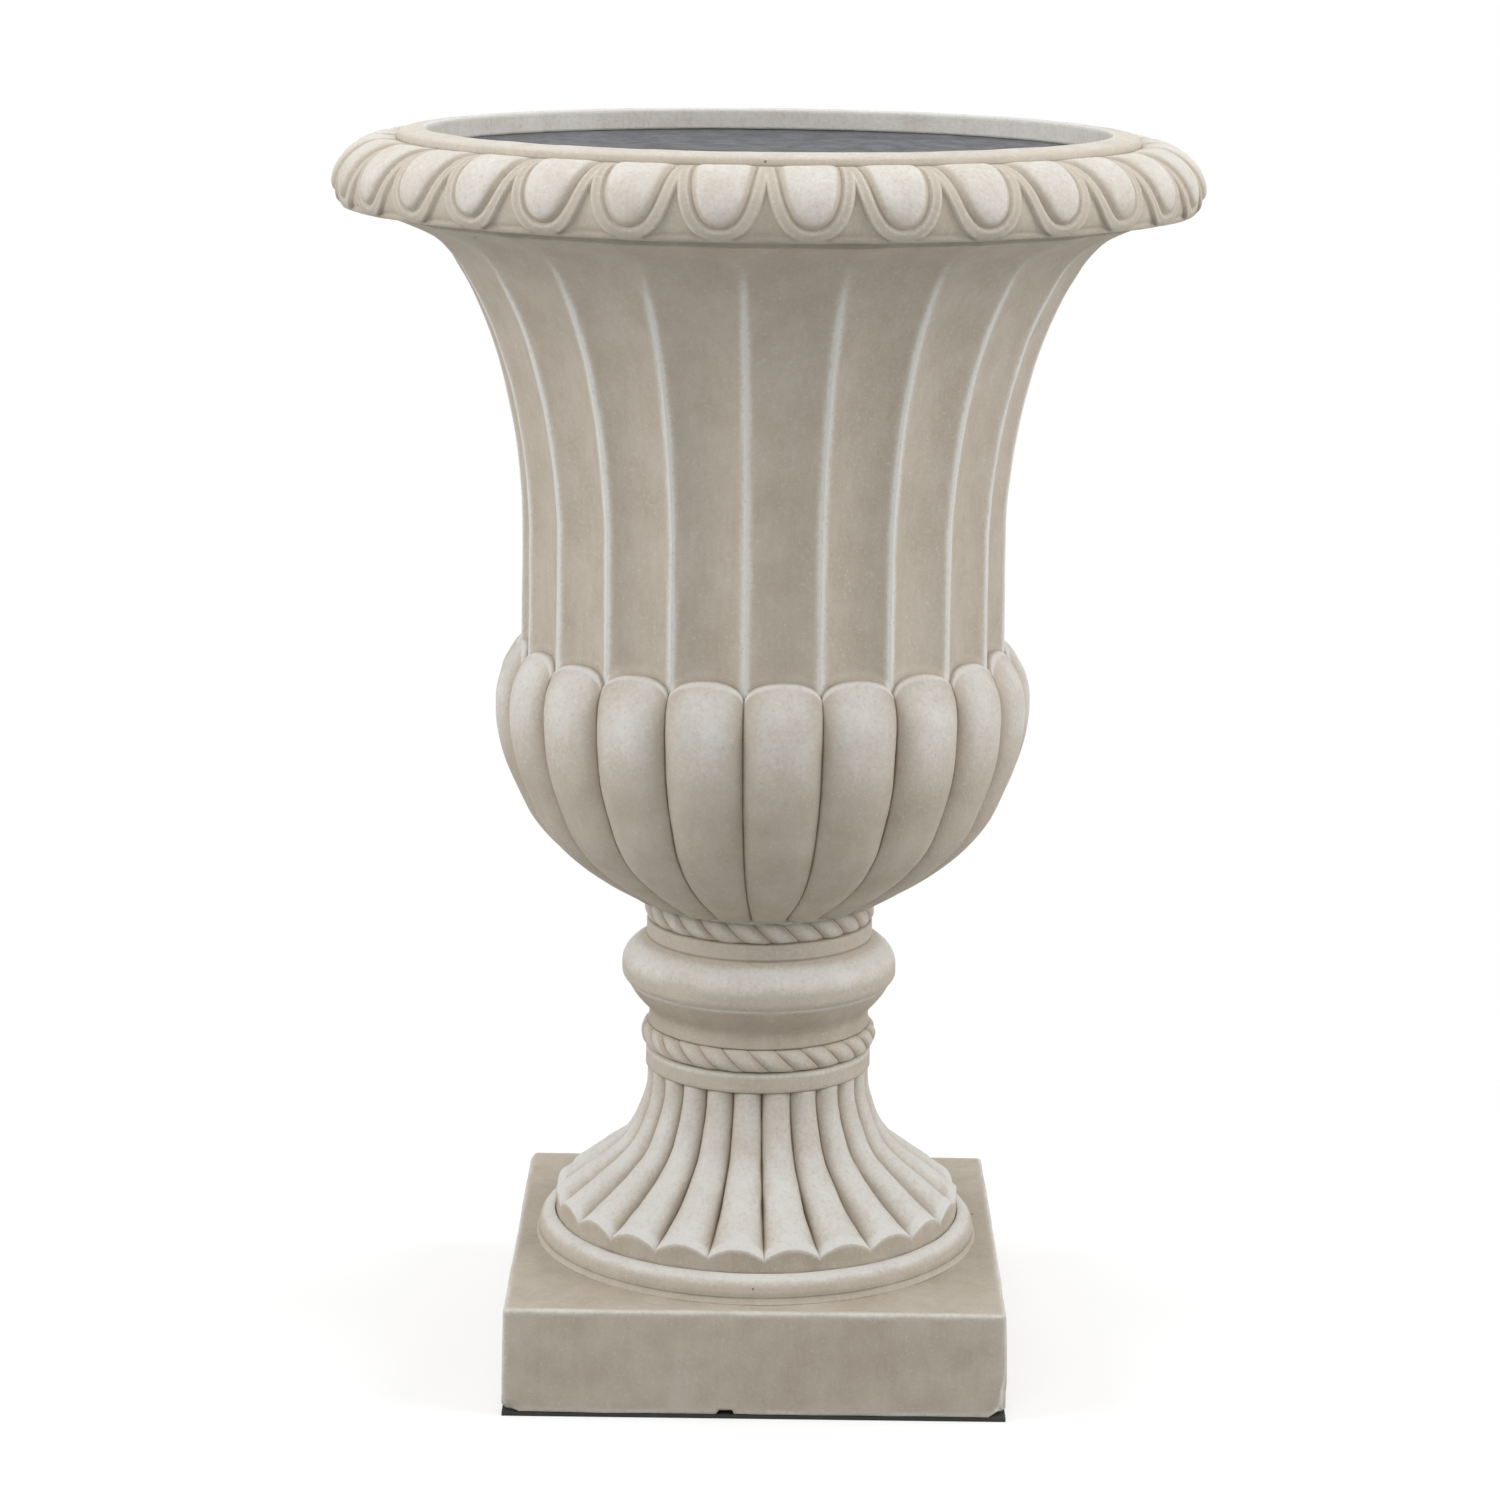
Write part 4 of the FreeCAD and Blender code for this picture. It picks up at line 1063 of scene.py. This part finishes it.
# ---- Studio --------------------------------------------------------------------------------------
FOCAL_PIXELS = 3998.5       # in a picture 1500 pixels wide
PICTURE_PIXELS = 1500
SENSOR_WIDTH = 36.0
CAMERA_PITCH = radians(12.409)
CAMERA_ROLL = radians(0.669)
CAMERA_YAW = radians(-0.171)
FLOOR_REACH = 6.0           # metres from the middle
FLOOR_COLOUR = 0.50         # of the floor that takes the shadow, and how much it glows
FLOOR_GLOW = 0.52
SHADOW_REACH = (0.30, 0.75) # the shadow shows within the first and is gone past the second, in metres
WORLD_LIGHT = 0.44
LAMP_AIM = (0, 0, 0.42)
# Lamps: name, place and side in metres, power in watts
LAMPS = [
    ("left", (-2.3, -0.5, 1.5), 1.6, 34),
    ("right", (2.3, -0.4, 1.5), 1.6, 37),
    ("front", (-0.4, -2.4, 2.0), 1.6, 15),
    ("overhead", (0.0, 0.2, 2.6), 1.8, 22)]


def build_camera(sizes):
    """Camera where the photograph was taken from."""
    data = bpy.data.cameras.new("camera")
    data.sensor_width = SENSOR_WIDTH
    data.lens = FOCAL_PIXELS / PICTURE_PIXELS * SENSOR_WIDTH
    camera = bpy.data.objects.new("camera", data)
    bpy.context.collection.objects.link(camera)
    level = cos(CAMERA_PITCH)
    forward = Vector((sin(CAMERA_YAW) * level, cos(CAMERA_YAW) * level, -sin(CAMERA_PITCH)))
    right = Vector((cos(CAMERA_YAW), -sin(CAMERA_YAW), 0))
    up = right.cross(forward)
    rolled_right = right * cos(CAMERA_ROLL) + up * sin(CAMERA_ROLL)
    rolled_up = up * cos(CAMERA_ROLL) - right * sin(CAMERA_ROLL)
    turn = Matrix((rolled_right, rolled_up, -forward)).transposed()
    place = Vector((0, -sizes.camera_distance, sizes.camera_height + PAD_TOP * MM))
    camera.matrix_world = Matrix.Translation(place) @ turn.to_4x4()
    bpy.context.scene.camera = camera


def white_to_camera(sheet, seen, lit):
    """Shader that is seen by camera, glossy and transmission rays, and lit for all other rays."""
    path = sheet.tree.nodes.new("ShaderNodeLightPath")
    names = ("Is Camera Ray", "Is Glossy Ray", "Is Transmission Ray")
    camera, glossy, transmission = [Flow(sheet, path.outputs[name]) for name in names]
    looking = (camera + glossy + transmission).clamp()
    return sheet.node("ShaderNodeMixShader", {}, {0: looking, 1: lit, 2: seen})


def build_floor():
    """Pale floor that keeps the shadow and reads white."""
    mesh = bpy.data.meshes.new("floor")
    reach = FLOOR_REACH
    mesh.from_pydata([(-reach, -reach, 0), (reach, -reach, 0), (reach, reach, 0), (-reach, reach, 0)], [],
                     [[0, 1, 2, 3]])
    material = bpy.data.materials.new("floor_white")
    material.use_nodes = True
    sheet = Sheet(material.node_tree)
    lit = sheet.node("ShaderNodeBsdfDiffuse", {}, {"Color": rgba([FLOOR_COLOUR] * 3)})
    white = sheet.node("ShaderNodeEmission", {}, {"Color": (1, 1, 1, 1), "Strength": 1.0})
    pale = sheet.node("ShaderNodeEmission", {}, {"Color": (1, 1, 1, 1), "Strength": FLOOR_GLOW})
    shaded = sheet.node("ShaderNodeAddShader", {}, {0: pale, 1: lit})
    distance = sheet.node("ShaderNodeVectorMath", {"operation": "LENGTH"}, {0: sheet.place()}, 1)
    shadow = distance.step(SHADOW_REACH[1], SHADOW_REACH[0])
    seen = sheet.node("ShaderNodeMixShader", {}, {0: shadow, 1: white, 2: shaded})
    surface = white_to_camera(sheet, seen, lit)
    output = material.node_tree.nodes.new("ShaderNodeOutputMaterial")
    material.node_tree.links.new(surface.socket, output.inputs["Surface"])
    mesh.materials.append(material)
    floor = bpy.data.objects.new("floor", mesh)
    bpy.context.collection.objects.link(floor)


def build_world():
    """Even ambient light, white behind the object."""
    world = bpy.data.worlds.new("studio")
    bpy.context.scene.world = world
    world.use_nodes = True
    sheet = Sheet(world.node_tree)
    lit = sheet.node("ShaderNodeBackground", {}, {"Color": (1, 1, 1, 1), "Strength": WORLD_LIGHT})
    seen = sheet.node("ShaderNodeBackground", {}, {"Color": (1, 1, 1, 1), "Strength": 1.0})
    output = world.node_tree.nodes.new("ShaderNodeOutputWorld")
    world.node_tree.links.new(white_to_camera(sheet, seen, lit).socket, output.inputs["Surface"])


def build_lamp(name, place, size, power):
    """Soft rectangular lamp that points at the middle of the urn."""
    data = bpy.data.lights.new(name, "AREA")
    data.size = size
    data.energy = power
    lamp = bpy.data.objects.new(name, data)
    bpy.context.collection.objects.link(lamp)
    aim = Vector(LAMP_AIM) - Vector(place)
    lamp.matrix_world = Matrix.Translation(place) @ aim.to_track_quat("-Z", "Y").to_matrix().to_4x4()


def build_studio(sizes):
    """Camera, floor, backdrop and lamps."""
    bpy.context.scene.view_settings.view_transform = "Standard"
    build_camera(sizes)
    build_floor()
    build_world()
    for lamp in LAMPS:
        build_lamp(*lamp)


# ---- Operators and panel -------------------------------------------------------------------------
class URN_OT_bowl(bpy.types.Operator):
    """Builds the fluted and gadrooned bowl"""
    bl_idname = "urn.bowl"
    bl_label = "Bowl"

    def execute(self, context):
        build_bowl(context.scene.urn_sizes)
        return {"FINISHED"}


class URN_OT_rim(bpy.types.Operator):
    """Builds the lip and the egg band"""
    bl_idname = "urn.rim"
    bl_label = "Lip and egg band"

    def execute(self, context):
        build_band(context.scene.urn_sizes)
        build_lip()
        return {"FINISHED"}


class URN_OT_pedestal(bpy.types.Operator):
    """Builds the stem, its two ropes and the reeded foot"""
    bl_idname = "urn.pedestal"
    bl_label = "Pedestal"

    def execute(self, context):
        sizes = context.scene.urn_sizes
        build_stem()
        build_rope("upper_rope", sizes, sizes.upper_strands, UPPER_ROPE, UPPER_ROPE_UNEVEN)
        build_rope("lower_rope", sizes, sizes.lower_strands, LOWER_ROPE, LOWER_ROPE_UNEVEN)
        build_foot(sizes)
        return {"FINISHED"}


class URN_OT_plinth(bpy.types.Operator):
    """Builds the square plinth and its bead"""
    bl_idname = "urn.plinth"
    bl_label = "Plinth"

    def execute(self, context):
        build_plinth()
        build_bead()
        return {"FINISHED"}


class URN_OT_fixings(bpy.types.Operator):
    """Builds the mortar at the neck and finishes the pad and the fasteners"""
    bl_idname = "urn.fixings"
    bl_label = "Mortar, pad and fasteners"

    def execute(self, context):
        build_mortar()
        finish_fasteners()
        return {"FINISHED"}


class URN_OT_studio(bpy.types.Operator):
    """Builds the camera, floor, backdrop and lamps"""
    bl_idname = "urn.studio"
    bl_label = "Studio"

    def execute(self, context):
        build_studio(context.scene.urn_sizes)
        return {"FINISHED"}


class URN_PT_panel(bpy.types.Panel):
    """Sizes, colours and the steps that build the urn"""
    bl_label = "Urn planter"
    bl_idname = "URN_PT_panel"
    bl_space_type = "VIEW_3D"
    bl_region_type = "UI"
    bl_category = "Urn planter"

    def draw(self, context):
        for group in (context.scene.urn_sizes, context.scene.urn_colours):
            for key in group.__annotations__:
                self.layout.prop(group, key)
        for operator in OPERATORS:
            self.layout.operator(operator.bl_idname)


OPERATORS = (URN_OT_bowl, URN_OT_rim, URN_OT_pedestal, URN_OT_plinth, URN_OT_fixings, URN_OT_studio)
CLASSES = (UrnSizes, UrnColours) + OPERATORS + (URN_PT_panel,)


def register():
    for kind in CLASSES:
        bpy.utils.register_class(kind)
    bpy.types.Scene.urn_sizes = bpy.props.PointerProperty(type=UrnSizes)
    bpy.types.Scene.urn_colours = bpy.props.PointerProperty(type=UrnColours)


def unregister():
    del bpy.types.Scene.urn_sizes
    del bpy.types.Scene.urn_colours
    for kind in reversed(CLASSES):
        bpy.utils.unregister_class(kind)


def main():
    register()
    bpy.ops.urn.bowl()
    bpy.ops.urn.rim()
    bpy.ops.urn.pedestal()
    bpy.ops.urn.plinth()
    bpy.ops.urn.fixings()
    bpy.ops.urn.studio()


if __name__ == "__main__":
    main()
